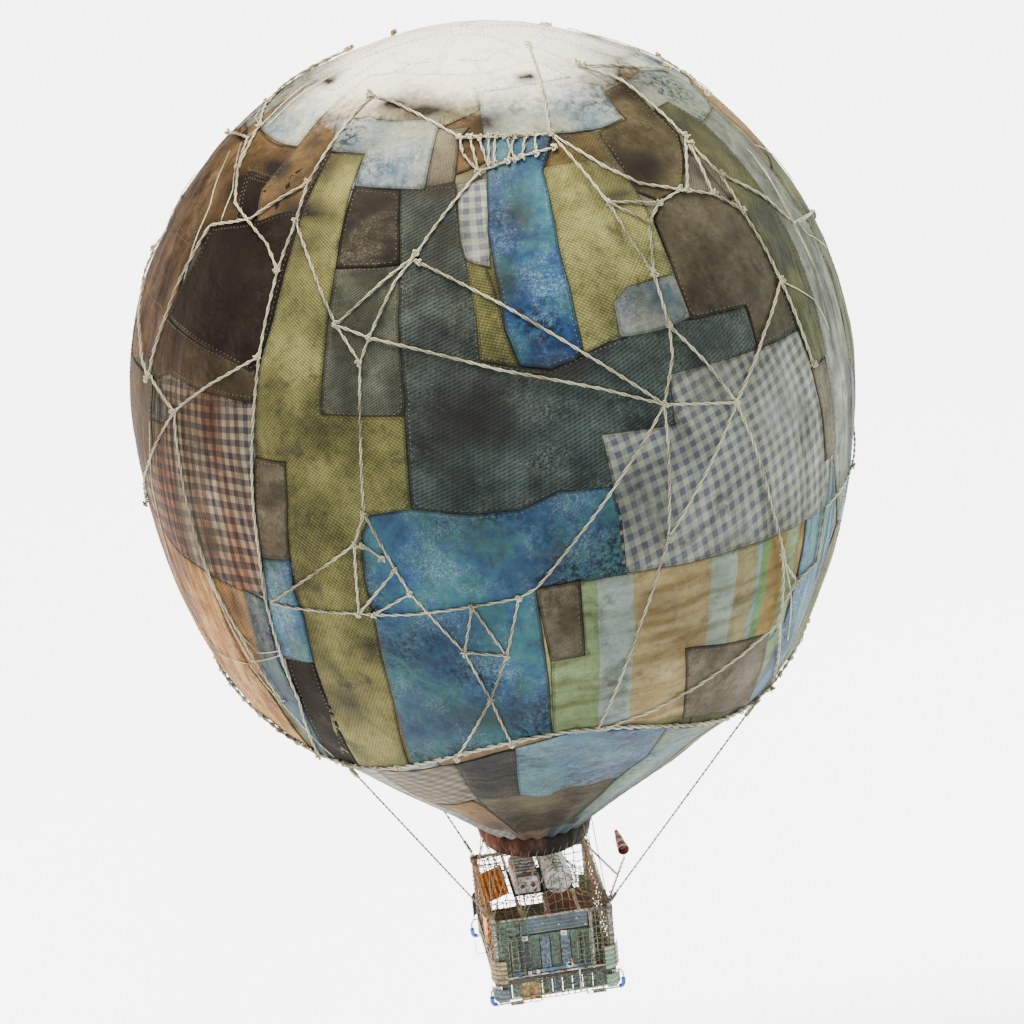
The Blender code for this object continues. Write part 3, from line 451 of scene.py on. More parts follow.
# Painted shade of folds and dents, with dark smudges: azimuth, climb, half width
# and half height in metres, and tenths of black. The back has the same, a little fainter.
fold_shade_and_smudge_marks = (
    (237.9, 64.6, 0.24, 0.15, 9), (249.5, 63.2, 0.34, 0.16, 9), (268.8, 59.6, 0.19, 0.18, 8),
    (289.2, 68.2, 0.16, 0.12, 9), (193.1, 68, 0.22, 0.13, 9), (210.9, 50.4, 0.5, 0.24, 8),
    (202.6, 46.2, 0.5, 0.33, 8), (226, 52.3, 0.33, 0.38, 6), (226.5, 44.2, 0.62, 0.21, 7),
    (205.2, 29.1, 0.44, 1.04, 7), (211.9, 33.3, 0.59, 0.81, 5), (199.3, 30.2, 0.19, 0.18, 8),
    (256.1, 48.1, 0.38, 0.18, 6), (258.2, 40.7, 0.3, 0.24, 4), (271.9, 42.8, 0.18, 0.33, 5),
    (267.1, 32.5, 0.24, 0.33, 5), (302.3, 46, 0.5, 0.27, 7), (315.2, 42.4, 0.38, 0.33, 5),
    (292.7, 42.9, 0.38, 0.18, 6), (318.5, 59.9, 0.5, 0.1, 8), (289, 27, 0.3, 0.18, 4),
    (240.1, 45.9, 0.33, 0.24, 5), (244.1, 35, 0.38, 0.18, 4), (241.1, 27, 0.27, 0.65, 4),
    (228.5, 38.2, 0.3, 0.44, 4), (259.8, 13.8, 0.89, 0.53, 4), (273.8, 19.4, 0.59, 0.21, 5),
    (227.4, 1.2, 0.24, 0.12, 6), (232.7, -25.7, 0.44, 0.27, 5), (240.9, -16.5, 0.24, 0.12, 5),
    (256.3, -27.1, 0.89, 0.38, 4), (222.1, -37.1, 0.44, 0.15, 5), (284.4, -13.7, 0.33, 0.18, 3),
    (298.4, -22.7, 0.38, 0.15, 3), (292.1, 4.2, 0.36, 0.24, 3), (212.3, -6.9, 0.18, 0.33, 5),
    (214.4, -15.2, 0.24, 0.38, 4), (328.9, 30, 0.38, 0.24, 4), (330.1, 11.3, 0.15, 0.65, 5),
    (193, 20.3, 0.18, 0.89, 6), (286.3, 54.3, 0.33, 0.15, 5),
)
fold_shade_and_smudge_spots = []
for azimuth, climb, wide, tall, depth in fold_shade_and_smudge_marks:
    for turn, share in ((0, 0.1), (180, 0.08)):
        centre, out = skin_point(azimuth + turn, climb)
        east = Vector((-centre.y, centre.x, 0)).normalized()
        fold_shade_and_smudge_spots.append((centre, east / wide, out.cross(east) / tall, depth * share))


def fold_shade_and_smudge_at(point):
    """How dark the painted shade and smudges make the cloth at a point, from 0 to 1."""
    most = 0.0
    for centre, east, up, depth in fold_shade_and_smudge_spots:
        away = point - centre
        if away.length_squared < 4:
            most = max(most, depth * math.exp(-(away.dot(east) ** 2) - away.dot(up) ** 2))
    return most


def bag_point(azimuth, climb, lift):
    """A point of the cloth, lifted off the bag's crumpled skin."""
    low = hem_climb(azimuth)
    climb = max(climb, low)
    point, out = skin_point(azimuth, climb)
    return point + out * (lift + crumple(point, azimuth, climb - low))


def cone_point(azimuth, share, lift):
    """A point of the cone under the hem: share is 0 at the hem, 1 at the neck."""
    share = min(max(share, 0.004), 1.0)
    turn = math.radians(azimuth)
    top = hem_height(azimuth)
    top_radius = envelope_radius * math.sqrt(1 - (top / envelope_drop) ** 2)
    wide = top_radius * (1 - share) + neck_radius * share
    height = top * (1 - share) + neck_height * share
    fold = math.sin(math.radians(azimuth * 26)) * 0.014 * (0.35 + share)
    sag = math.sin(share * math.pi) * noise.noise(Vector((azimuth * 0.09, share * 3, 0))) * 0.05
    away = Vector((0.66 * math.cos(turn), 0.66 * math.sin(turn), -0.75))
    point = Vector((wide * math.cos(turn), wide * math.sin(turn), height))
    return point + away * (lift + fold + sag)


def border_distance(spot, border):
    """How far a flat point lies from a border, and whether it is inside."""
    near = 1e9
    inside = False
    last = border[-1]
    for here in border:
        step = here - last
        along = max(0.0, min(1.0, (spot - last).dot(step) / max(step.length_squared, 1e-12)))
        near = min(near, (spot - last - step * along).length_squared)
        if (here.y > spot.y) != (last.y > spot.y):
            cross = (last.x - here.x) * (spot.y - here.y) / (last.y - here.y) + here.x
            inside ^= spot.x < cross
        last = here
    return math.sqrt(near), inside


def cut_border(corners, pace=0.12, wobble=0.012):
    """The outline of a scrap, cut by hand: its straight edges wander a little."""
    border = []
    for first, second in zip(corners, corners[1:] + corners[:1]):
        parts = max(1, round((second - first).length / pace))
        for part in range(parts):
            spot = first.lerp(second, part / parts)
            stray = noise.noise_vector(Vector((spot.x * 2.1, spot.y * 2.1, 7.0)))
            border.append(spot + Vector((stray.x, stray.y)) * (wobble if part else 0.0))
    return border


class Scraps:
    """The cloth of one finish: its scraps' points, faces and attributes."""

    def __init__(self):
        self.spots, self.faces, self.edge, self.tone, self.weave = [], [], [], [], []


def sew_scrap(scraps, seams, outline, place, scale, lift, turn, grid=0.16):
    """Cut one scrap to its outline, lay it on the bag, and sew it all round."""
    middle = sum(outline, Vector((0, 0))) / len(outline)
    wide = scale(middle.y)
    corners = [Vector(((p.x - middle.x) * wide[0], (p.y - middle.y) * wide[1])) for p in outline]
    twice = sum(a.cross(b) for a, b in zip(corners, corners[1:] + corners[:1]))
    if twice < 0:
        corners.reverse()
    border = cut_border(corners)
    count = len(border)
    inner = []
    for number, spot in enumerate(border):
        run = (border[(number + 1) % count] - border[number - 1]).normalized()
        moved = spot + Vector((-run.y, run.x)) * edge_width
        near, inside = border_distance(moved, border)
        if inside and near > edge_width * 0.8:
            inner.append(moved)
    spots = border + inner
    low = Vector((min(p.x for p in border), min(p.y for p in border)))
    high = Vector((max(p.x for p in border), max(p.y for p in border)))
    for row in range(int((high.y - low.y) / grid) + 1):
        for column in range(int((high.x - low.x) / grid) + 2):
            spot = low + Vector(((column + 0.5 * (row % 2)) * grid, (row + 0.5) * grid))
            near, inside = border_distance(spot, border)
            if inside and near > edge_width * 1.7:
                spots.append(spot)
    ring = [(number, (number + 1) % count) for number in range(count)]
    flat, _, faces, origin, _, _ = delaunay_2d_cdt(spots, ring, [], 1, 1e-5)
    first = len(scraps.spots)
    shade = random.random()
    angle = math.radians(turn)
    shift = Vector((random.uniform(0, 9), random.uniform(0, 9)))
    if turn == 0:
        shift.x = -low.x
    for spot, source in zip(flat, origin):
        u = spot.x / wide[0] + middle.x
        v = spot.y / wide[1] + middle.y
        scraps.spots.append(place(u, v, lift))
        scraps.edge.append(1.0 if source and min(source) < count else 0.0)
        scraps.tone.append(shade)
        scraps.weave.append(
            (
                spot.x * math.cos(angle) - spot.y * math.sin(angle) + shift.x,
                spot.x * math.sin(angle) + spot.y * math.cos(angle) + shift.y,
            )
        )
    scraps.faces += [[first + corner for corner in face] for face in faces]
    if len(inner) < 4:
        return
    walk = 0.0
    for here, following in zip(inner, inner[1:] + inner[:1]):
        length = (following - here).length
        if length > 0.3:
            continue
        while walk < length:
            spot = here.lerp(following, walk / length)
            ahead = here.lerp(following, min(1.5, (walk + 0.03) / length))
            ends = [
                place(p.x / wide[0] + middle.x, p.y / wide[1] + middle.y, lift)
                for p in (spot, ahead)
            ]
            seams.append(ends)
            walk += 0.078
        walk -= length


def cloth_piece(name, finish, scraps, body="body"):
    """One object of all the scraps of a finish, each with a real thickness."""
    mesh = bpy.data.meshes.new(name)
    mesh.from_pydata(scraps.spots, [], scraps.faces)
    mesh.materials.append(finish)
    # Painted shade of folds and dents, with dark smudges, kept per point.
    darkening = [fold_shade_and_smudge_at(spot) for spot in scraps.spots]
    for label, values in (("edge", scraps.edge), ("tone", scraps.tone), ("darkening", darkening)):
        mesh.attributes.new(label, "FLOAT", "POINT").data.foreach_set("value", values)
    weave = mesh.uv_layers.new(name="weave")
    corners = [scraps.weave[loop.vertex_index] for loop in mesh.loops]
    weave.data.foreach_set("uv", [value for corner in corners for value in corner])
    mesh.shade_smooth()
    piece = bpy.data.objects.new(name, mesh)
    bpy.context.collection.objects.link(piece)
    bpy.ops.object.select_all(action="DESELECT")
    piece.select_set(True)
    bpy.context.view_layer.objects.active = piece
    thick = piece.modifiers.new("cloth", "SOLIDIFY")
    thick.thickness = scrap_thickness
    thick.offset = -1
    bpy.ops.object.modifier_apply(modifier="cloth")
    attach(piece, body)
    return piece


def outline_of(text):
    return [Vector([float(value) for value in pair.split(",")]) for pair in text.split()]


def bag_scale(climb):
    round_scale = envelope_radius * math.cos(math.radians(min(climb, 74)))
    up_scale = envelope_radius if climb > 0 else (envelope_radius + envelope_drop) / 2
    return math.radians(1) * round_scale, math.radians(1) * up_scale


def cone_scale(share):
    return math.radians(1) * (4.4 - 3.4 * share), 4.4


# The bag's ground: sixteen gores of eight pieces, which the scraps lie over.
ground = {}
gore_count = 16
rows = (-40, -24, -9, 7, 22, 37, 51, 64, 79)
marks = {}
for gore in range(gore_count):
    for row, climb in enumerate(rows):
        loose = 0 < row < len(rows) - 1
        marks[gore, row] = (
            gore * 360 / gore_count + 2 + (random.uniform(-3, 3) if row < 6 else 0),
            climb + (random.uniform(-3, 3) if loose else 0),
        )
low_finishes = ["blue", "burlap", "stripes", "brown", "ochre", "gingham", "olive", "cream_fold"]
mid_finishes = ["slate", "burlap", "brown", "gingham", "blue", "olive", "dark_leather", "grey_green"]
top_finishes = ["pale_blue", "bleached", "tan_leather", "grey_cloth", "cream", "tan_strip"]
pieces_of = {}
seams = []
for gore in range(gore_count):
    for row in range(len(rows) - 1):
        choice = low_finishes if row < 2 else mid_finishes if row < 5 else top_finishes
        finish = random.choice(choice)
        outline = []
        for g, r in ((gore, row), (gore + 1, row), (gore + 1, row + 1), (gore, row + 1)):
            azimuth, climb = marks[g % gore_count, r]
            outline.append(Vector((azimuth + (360 if g == gore_count else 0), climb)))
        if row == 0:
            outline[0].y = outline[1].y = -60
        scraps = pieces_of.setdefault(finish, Scraps())
        sew_scrap(scraps, seams, outline, bag_point, bag_scale, 0.0, random.uniform(-20, 20))


# The crown cap: six wedges round a small disc, over the gores' ends.
def crown_point(east, north, lift):
    """A point of the crown, given in metres from the bag's top."""
    reach = math.hypot(east, north)
    climb = 90 - math.degrees(reach / envelope_radius)
    return bag_point(math.degrees(math.atan2(north, east)), climb, lift)


cap_finishes = ("bleached", "cream", "pale_blue", "bleached", "grey_cloth", "cream")
for wedge, finish in enumerate(cap_finishes):
    outline = [Vector((0, 0))]
    for step in range(5):
        turn = math.radians(wedge * 60 + step * 15 + 8)
        outline.append(Vector((math.cos(turn), math.sin(turn))) * (1.32 + 0.12 * math.sin(step * 2 + wedge)))
    scraps = pieces_of.setdefault(finish, Scraps())
    sew_scrap(scraps, seams, outline, crown_point, lambda north: (1.0, 1.0), scrap_lift, 15 + wedge * 20)
outline = [Vector((0.36 * math.cos(n * math.tau / 14), 0.36 * math.sin(n * math.tau / 14))) for n in range(14)]
sew_scrap(pieces_of["cream"], seams, outline, crown_point, lambda north: (1.0, 1.0), 2 * scrap_lift, 30)

front_scraps = (
    ("tan_leather", 0.5, 40, "168,53 189,52 194,40 200,33 200,22 193.6,16 182,13 166,18"),
    ("old_brown", 0.5, 70, "166,18 182,13 197,14 197,2 188,-7 172,-8 164,2"),
    ("cream_fold", 0.5, 20, "164,2 172,-8 190,-7 188,-17 190,-27 172,-30 160,-14"),
    ("olive", 0.5, 80, "341,36 353,38 360,18 356,-2 346,-6 338,4 339,23"),
    ("pale_blue", 1, 0, "185.4,55.6 188.6,66.3 206.4,67 212.8,65.6 213.6,54.7 205.1,54.6 190,55.3"),
    ("bleached", 1, 0,
     "213.4,60.7 213.2,66.1 213.4,71.5 227.8,73.6 269.1,72.3 267.9,62.7 255.3,59.2 231.7,61.8"),
    ("pale_blue", 2, 5, "219.8,61.2 255.4,61.3 252.9,48.1 236.6,48.7 236.4,54.3 226.4,54.5"),
    ("cream", 1, 0, "253.9,59.2 263.9,59.1 260.9,56.9 259.4,49.1 252.9,48.1"),
    ("gingham_small", 3, 0, "266.4,71.6 301.1,72.3 305.6,66 288.1,66.4 267.4,66.7"),
    ("pale_blue", 2, -10,
     "268.2,66.9 301.9,66.6 311.3,62 306.6,55 298.3,54.4 284.6,55.3 267.2,56.3 267.6,62.7"),
    ("tan_strip", 1, 60,
     "213.8,60.7 218.9,65.3 223.1,64.6 225.9,54.1 225.3,44.1 222.8,40.6 217.5,38.8 211.4,46.5 "
     "213.6,54.7"),
    ("deep_blue", 3, 0,
     "266.7,56.7 284.5,55.1 279,49.2 277.5,35.8 277.8,21.7 276.3,20.5 272.3,19.8 267.9,20.8 "
     "266.2,26 266,30.4 265.2,41 266.4,49.1"),
    ("burlap", 2, 8,
     "226.6,54.3 236.4,54.3 236.1,48.1 236.9,36.4 237.1,23.8 237.1,14.8 250.2,14.8 250.3,1.1 "
     "243.9,0.2 242.3,-2.2 241.8,-7.8 242.3,-12.7 242,-24.8 237.6,-60 217.5,-60 228.8,-26.3 "
     "229.8,-13.8 229.8,-6 225.9,0.9 225,11.3 225.1,15.8 225.1,20.5 226.6,27.7 226.8,37.3 "
     "226.5,43.8"),
    ("dark_hide", 2, 0, "236.6,48.7 247.6,48.2 249,36.5 237,35.8 236.5,41.8"),
    ("grey_green", 1, 0, "236.9,36.1 249.4,36.8 249.2,28.4 250.4,17.1 250.2,14.5 236.8,14.5 237.1,23.8"),
    ("slate", 1, 12,
     "247.6,48.2 259.6,49.1 260.3,39 262.4,30.7 262.1,22.2 267.9,20.8 272.3,19.8 277.7,21.3 "
     "280.6,22 287.6,22.9 295.9,22.9 308.2,21.3 308.3,15.6 295.9,14.3 291,14.9 290.2,7.7 279.7,8.4 "
     "280.4,0.1 271.6,2.1 265.7,0.2 258.6,0.1 250.3,1.1 250.2,14.8 250.4,17.1 249.2,28.4 249,36.5"),
    ("burlap", 2, -5, "260.7,36.7 264.4,35.3 265.9,29.5 266.2,26 267.8,20.5 261.9,22 261.8,28"),
    ("gingham", 2, 0, "259.8,48.9 267,49.6 265.4,40 265.1,35.2 261,36.4 260,39.8"),
    ("burlap", 2, 15,
     "279.1,49.9 290.8,49.7 296.9,47.5 297.2,38.8 296.8,29.1 290.9,29.2 285.3,27.7 284.1,22.7 "
     "276.7,20.9 277.2,28.9 277.5,37.8 278.1,45.5"),
    ("old_tan", 1, 20, "284.2,55.2 296.8,54.2 296.7,48.5 296.9,42.8 291.2,46.9 284.9,48.8 279.5,49.2"),
    ("old_brown", 1, 30,
     "308,61 320.2,61.2 319.3,54.6 318.7,49 308.1,40.9 300.5,40.5 296.3,43.2 296.7,49.6 296.3,54.1 "
     "307.5,54.8"),
    ("brown", 2, 0,
     "297.6,38.3 301.9,40.5 308.4,41.2 315.4,38.3 319.1,34.4 318.9,23.1 319.6,15.3 308.2,14.9 "
     "308.4,21.6 296.5,22.4 296.8,28.8"),
    ("pale_blue", 3, 10, "284.2,27.5 287.7,29.4 296.6,29.4 296.7,22.8 292,22.1 283.9,22.4"),
    ("olive", 2, 5,
     "319.3,54.6 328,54.5 330.8,48.9 329.5,39.9 328.3,32.5 327,22 326.2,8.7 320.3,8.6 318.8,16.6 "
     "318.9,23.1 318.8,34.2 319.5,40.5 319.3,47.2"),
    ("pale_blue", 1, 20,
     "323.2,61.2 338.5,61.3 352.3,57.3 352.6,52.2 342.4,48.7 331.1,48.4 327,54.2 318.5,54.3"),
    ("grey_cloth", 1, 0,
     "330.8,48.9 345.6,48.9 341.1,36.3 339.7,23.3 338,10.3 338.2,-4.7 335.7,-11.7 331,-15.9 "
     "325.4,-4.9 325.6,9.2 327,22 328.3,32.5 329.5,39.9"),
    ("dark_leather", 2, 0,
     "201.9,38.6 214.8,41.4 222.7,43.9 226.5,43.8 226.8,37.3 226.6,27.7 225.1,20.5 223.4,19.6 "
     "214.2,21.5 198.9,23.8 202.3,34.2"),
    ("brown", 1, 0,
     "198.9,23.8 214.1,21.8 224.5,20.3 225.2,15.5 215.1,15.3 203.7,16.1 198.1,13.7 193.6,18"),
    ("tan_leather", 1, -30,
     "188.8,55.3 206.2,54.3 214.6,54.6 215.4,48.2 202.9,48.6 210.3,40.7 204,38.9 198.6,33.5 "
     "192.6,40 189.1,49.7"),
    ("dark_leather", 1, 0, "215.4,48.2 226.8,55.1 226.7,43.5 215.1,41.1 209.8,40.5 202.1,48.5"),
    ("gingham_warm", 1, -6,
     "203.7,16.2 215.1,15.4 225.2,15.2 224.8,8.1 224.9,-2.9 222.6,-11.9 218.5,-11.8 210.6,-11.2 "
     "202.5,-10.2 193.8,-8.7 186.8,-5.8 195.8,2 205.1,10.1 195.9,13.1"),
    ("brown", 3, 0, "225.3,7.4 231.1,7.5 231,1.2 229.7,-6.2 224.1,-6.6"),
    ("blue", 3, 0, "224.1,-6.6 229.8,-6 229.1,-10.4 229.8,-13.8 229.2,-20.2 221.7,-20.5 223.2,-12.7"),
    ("blue", 2, 10,
     "218.1,-11.7 223.3,-12.4 221.7,-20.5 222.4,-27.4 217.6,-60 217.5,-36.1 215,-25.7 217.4,-17.6"),
    ("ochre", 1, 25, "210.2,-11 219,-11.7 217.9,-17.5 215.3,-26 211.5,-24.6 210.7,-17.4 209.8,-14"),
    ("cream_fold", 1, 0,
     "187.5,-5.3 193.8,-8.7 202.5,-10.2 210.7,-11 210.4,-13.8 211.5,-24.6 213.8,-27.7 217.6,-60 "
     "213.2,-37.3 197.8,-34.2 189.4,-27.1 185.8,-17.5"),
    ("dark_leather", 2, 0, "223.2,-20.2 229.3,-19.8 229,-26.2 226.5,-60 217.6,-60 222.4,-27.4"),
    ("blue", 2, 0,
     "243.9,0.3 250.3,1.3 258.6,0.2 265.7,0.3 271.6,2.3 279.3,1.7 280.4,-2.9 280.8,-9.7 273.6,-9.5 "
     "267.1,-9.7 267.7,-17.9 268.1,-24 268.5,-60 260.8,-60 248.2,-60 238.9,-60 242,-24.8 "
     "242.3,-12.7 241.8,-7.8 242.3,-2.2"),
    ("brown", 3, 0, "266.9,-9.6 273.6,-9.2 273.9,-19.5 268.4,-19.6"),
    ("stripes", 1, 0,
     "273.3,-9.2 280.5,-9.4 301.7,-10.5 315.7,-11.1 315,-16.1 316,-28.1 314,-38.4 293.2,-33.8 "
     "276,-31.6 267.9,-60 268.4,-19.4 273.7,-19.3"),
    ("brown", 3, 10, "291.3,-22 311.5,-25.6 314.4,-38.7 293.8,-34.4"),
    ("gingham", 2, -14,
     "278.4,9.6 290,8.6 290.5,15.8 296.3,15.7 307.6,15.1 320.8,14.6 323.7,7 326.8,-5.3 321.9,-11.8 "
     "301.7,-10.6 293,-10.3 280,-9.5 279.8,-2.8 279.3,1.5"),
    ("blue", 1, 0,
     "317,-11.4 323.8,-4.7 326.6,-7.1 330.3,-16.5 325.8,-29.1 320.1,-39.3 313.2,-38.2 311.6,-25.7 "
     "316,-25.3 316.7,-16.7"),
    ("brown", 2, 0, "320,8.5 325.2,8.4 327.3,-5.4 322.3,-5.5 321,3.2"),
    ("blue", 1, 0, "337.1,6.5 342.3,3.7 344,-8.9 339.9,-21.1 339.1,-23.7 330.7,-15.5 335.7,-11.7"),
    ("olive", 1, 0,
     "331.6,-15.8 340.8,-18.6 338,-26.3 333.7,-35.8 322.2,-39.1 320.1,-39.3 325.8,-29.1 "
     "328.6,-20.4"),
)
cone_scraps = (
    ("gingham_small", 1, 20, "230.4,0.021 249.3,0.067 246.3,0.532 251.6,0.883 232.5,0.777 226.2,0.57"),
    ("dark_hide", 2, 0, "249.3,0.067 261.3,0.059 260.1,0.495 247,0.472"),
    ("blue", 1, 0, "261.3,0.059 289.6,-0.1 294,0.294 291.2,0.445 269.4,0.545 259.8,0.493"),
    ("teal", 1, 0,
     "289.6,-0.1 304.8,-0.1 303.7,0.249 300.8,0.615 294.7,0.798 289.4,0.853 290.8,0.435 "
     "292.8,0.238"),
    ("old_brown", 1, 0,
     "246.7,0.445 269.3,0.526 290.8,0.416 292,0.761 292.3,0.891 254.8,0.913 247.5,0.783"),
    ("ochre", 2, 0, "229.1,0.495 244.6,0.47 251.9,0.909 230.9,0.796"),
)

# The front's big scraps, cut to the outlines that the bag shows. The back
# has a like set, turned round and cut from other cloths.
finish_swap = {
    "burlap": "slate", "slate": "burlap", "blue": "brown", "brown": "blue",
    "gingham": "stripes", "stripes": "gingham", "olive": "grey_green", "grey_green": "olive",
    "gingham_warm": "gingham", "dark_leather": "old_brown", "tan_leather": "ochre",
}
for number, (name, layer, turn, text) in enumerate(front_scraps):
    outline = outline_of(text)
    layer += number % 4 * 0.24
    scraps = pieces_of.setdefault(name, Scraps())
    sew_scrap(scraps, seams, outline, bag_point, bag_scale, layer * scrap_lift, turn)
    other = finish_swap.get(name, name)
    behind = [Vector((spot.x + 180 + 2.5 * math.sin(spot.y), spot.y)) for spot in outline]
    scraps = pieces_of.setdefault(other, Scraps())
    sew_scrap(scraps, seams, behind, bag_point, bag_scale, layer * scrap_lift, turn + 9)

bag_pieces = []
for name, scraps in pieces_of.items():
    piece = cloth_piece("envelope_" + name, cloths[name], scraps)
    bag_pieces.append(piece)
bag_area = sum(face.area for piece in bag_pieces for face in piece.data.polygons) / 2
for piece in bag_pieces:
    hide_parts("envelope")

# Running stitches: tarred twine, 38 mm long, through both scraps.
def sew_stitches(name, seams, finish):
    spots, faces = [], []
    for start, end in seams:
        run = end - start
        if run.length < 0.005:
            continue
        out = Vector((start.x, start.y, start.z * 0.6)).normalized()
        side = run.cross(out).normalized() * 0.0095
        first = len(spots)
        spots += [start - out * 0.003, end - out * 0.003]
        middle = (start + end) / 2
        spots += [middle + side, middle + out * 0.012, middle - side]
        faces += [(first, first + 2, first + 3), (first, first + 3, first + 4)]
        faces += [(first + 1, first + 3, first + 2), (first + 1, first + 4, first + 3)]
        faces += [(first, first + 4, first + 1, first + 2)]
    mesh = bpy.data.meshes.new(name)
    mesh.from_pydata([list(p) for p in spots], [], faces)
    mesh.materials.append(finish)
    piece = bpy.data.objects.new(name, mesh)
    bpy.context.collection.objects.link(piece)
    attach(piece, "body")
    return piece


# Twine and rope: hemp, dry and hairy, gone grey where the sun reaches it.
def hemp(name, pale, dark, hair=60.0):
    finish, shader = new_finish(name, 0.9, Sheen_Weight=0.2)
    place = add_node(finish, "TexCoord").outputs["Object"]
    patchy = add_node(finish, "TexNoise", {"Vector": place}, Scale=1.3, Detail=3.0)
    fine = add_node(finish, "TexNoise", {"Vector": place}, Scale=hair, Detail=4.0, Roughness=0.7)
    value = add_math(finish, "MULTIPLY_ADD", fine.outputs["Fac"], 0.6, -0.3)
    value = add_math(finish, "ADD", value, patchy.outputs["Fac"])
    colour = add_ramp(finish, value, [(0.3, dark), (0.6, pale)])
    # Painted shade in the groove between the two strands.
    groove = add_node(finish, "Attribute", settings={"attribute_name": "groove"})
    depth = add_ramp(finish, groove.outputs["Fac"], [(0.45, "ffffff"), (0.95, "4a4034")])
    colour = blend_over(finish, 0.85, colour, depth, "MULTIPLY")
    bump = add_node(finish, "Bump", {"Height": fine.outputs["Fac"]}, Strength=0.6, Distance=0.01)
    finish.node_tree.links.new(colour, shader.inputs["Base Color"])
    finish.node_tree.links.new(bump.outputs["Normal"], shader.inputs["Normal"])
    return finish


twine = hemp("tarred_twine", "6a5f4f", "2b251e")
hemp_rope = hemp("hemp_rope", "d2caa6", "75694a")
stay_hemp = hemp("stay_hemp", "a3946a", "54482f")
third = len(seams) // 2
sew_stitches("envelope_stitches_front", seams[:third], twine)
sew_stitches("envelope_stitches_back", seams[third:], twine)


# The rope net over the envelope
# Two-strand hemp rope, knotted by hand into big uneven meshes, with short
# rungs where it bears on a weak scrap. It lies on the cloth all the way.

net_rope_radius = 0.025


def lay_rope(soup, path, radius, pitch=0.4, pace=0.05, sides=8, lobes=0.3):
    """Sweep the two-strand section along a path, turning as it goes."""
    spots, faces, grooves = soup
    points = [path[0]]
    for start, end in zip(path, path[1:]):
        parts = max(1, round((end - start).length / pace))
        points += [start.lerp(end, (part + 1) / parts) for part in range(parts)]
    if len(points) < 3:
        return
    heading = (points[1] - points[0]).normalized()
    side = heading.orthogonal().normalized()
    first = len(spots)
    walked = 0.0
    for number, spot in enumerate(points):
        ahead = points[min(number + 1, len(points) - 1)] - points[max(number - 1, 0)]
        heading = ahead.normalized() if ahead.length > 1e-6 else heading
        side = (side - heading * side.dot(heading)).normalized()
        other = heading.cross(side)
        turn = walked / pitch * math.tau
        end_cap = 0.35 if number in (0, len(points) - 1) else 1.0
        for corner in range(sides):
            angle = corner * math.tau / sides
            reach = radius * (1 - lobes + lobes * math.cos(2 * angle)) * end_cap
            angle += turn
            spots.append(spot + (side * math.cos(angle) + other * math.sin(angle)) * reach)
            grooves.append(0.5 - 0.5 * math.cos(2 * (angle - turn)) if sides > 6 and lobes else 0.0)
        if number:
            walked += (spot - points[number - 1]).length
    for number in range(len(points) - 1):
        base = first + number * sides
        for corner in range(sides):
            after = (corner + 1) % sides
            faces.append((base + corner, base + after, base + sides + after, base + sides + corner))
    faces.append([first + corner for corner in reversed(range(sides))])
    last = first + (len(points) - 1) * sides
    faces.append([last + corner for corner in range(sides)])


def tie_knot(soup, spot, out, size, radius, roll=0.0):
    """An overhand knot: one small closed turn of rope around the crossing."""
    side = out.orthogonal().normalized()
    other = out.cross(side)
    path = []
    for step in range(15):
        turn = step / 14 * math.tau
        a = math.sin(turn + roll) + 1.6 * math.sin(2 * turn + roll)
        b = math.cos(turn + roll) - 1.6 * math.cos(2 * turn + roll)
        c = -math.sin(3 * turn)
        path.append(spot + (side * a + other * b) * size * 0.4 + out * (c * 0.5 + 0.3) * size)
    lay_rope(soup, path, radius, pace=0.03)


def rope_piece(name, soup, finish, body="body"):
    mesh = bpy.data.meshes.new(name)
    mesh.from_pydata([list(p) for p in soup[0]], [], soup[1])
    mesh.materials.append(finish)
    mesh.attributes.new("groove", "FLOAT", "POINT").data.foreach_set("value", soup[2])
    mesh.shade_smooth()
    piece = bpy.data.objects.new(name, mesh)
    bpy.context.collection.objects.link(piece)
    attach(piece, body)
    return piece


def on_bag(point, lift):
    """The point of the bag's skin that is nearest outwards to a point."""
    azimuth = math.degrees(math.atan2(point.y, point.x))
    drop = envelope_radius if point.z > 0 else envelope_drop
    flat = math.hypot(point.x, point.y)
    climb = math.degrees(math.atan2(point.z / drop, flat / envelope_radius))
    return bag_point(azimuth, climb, lift)


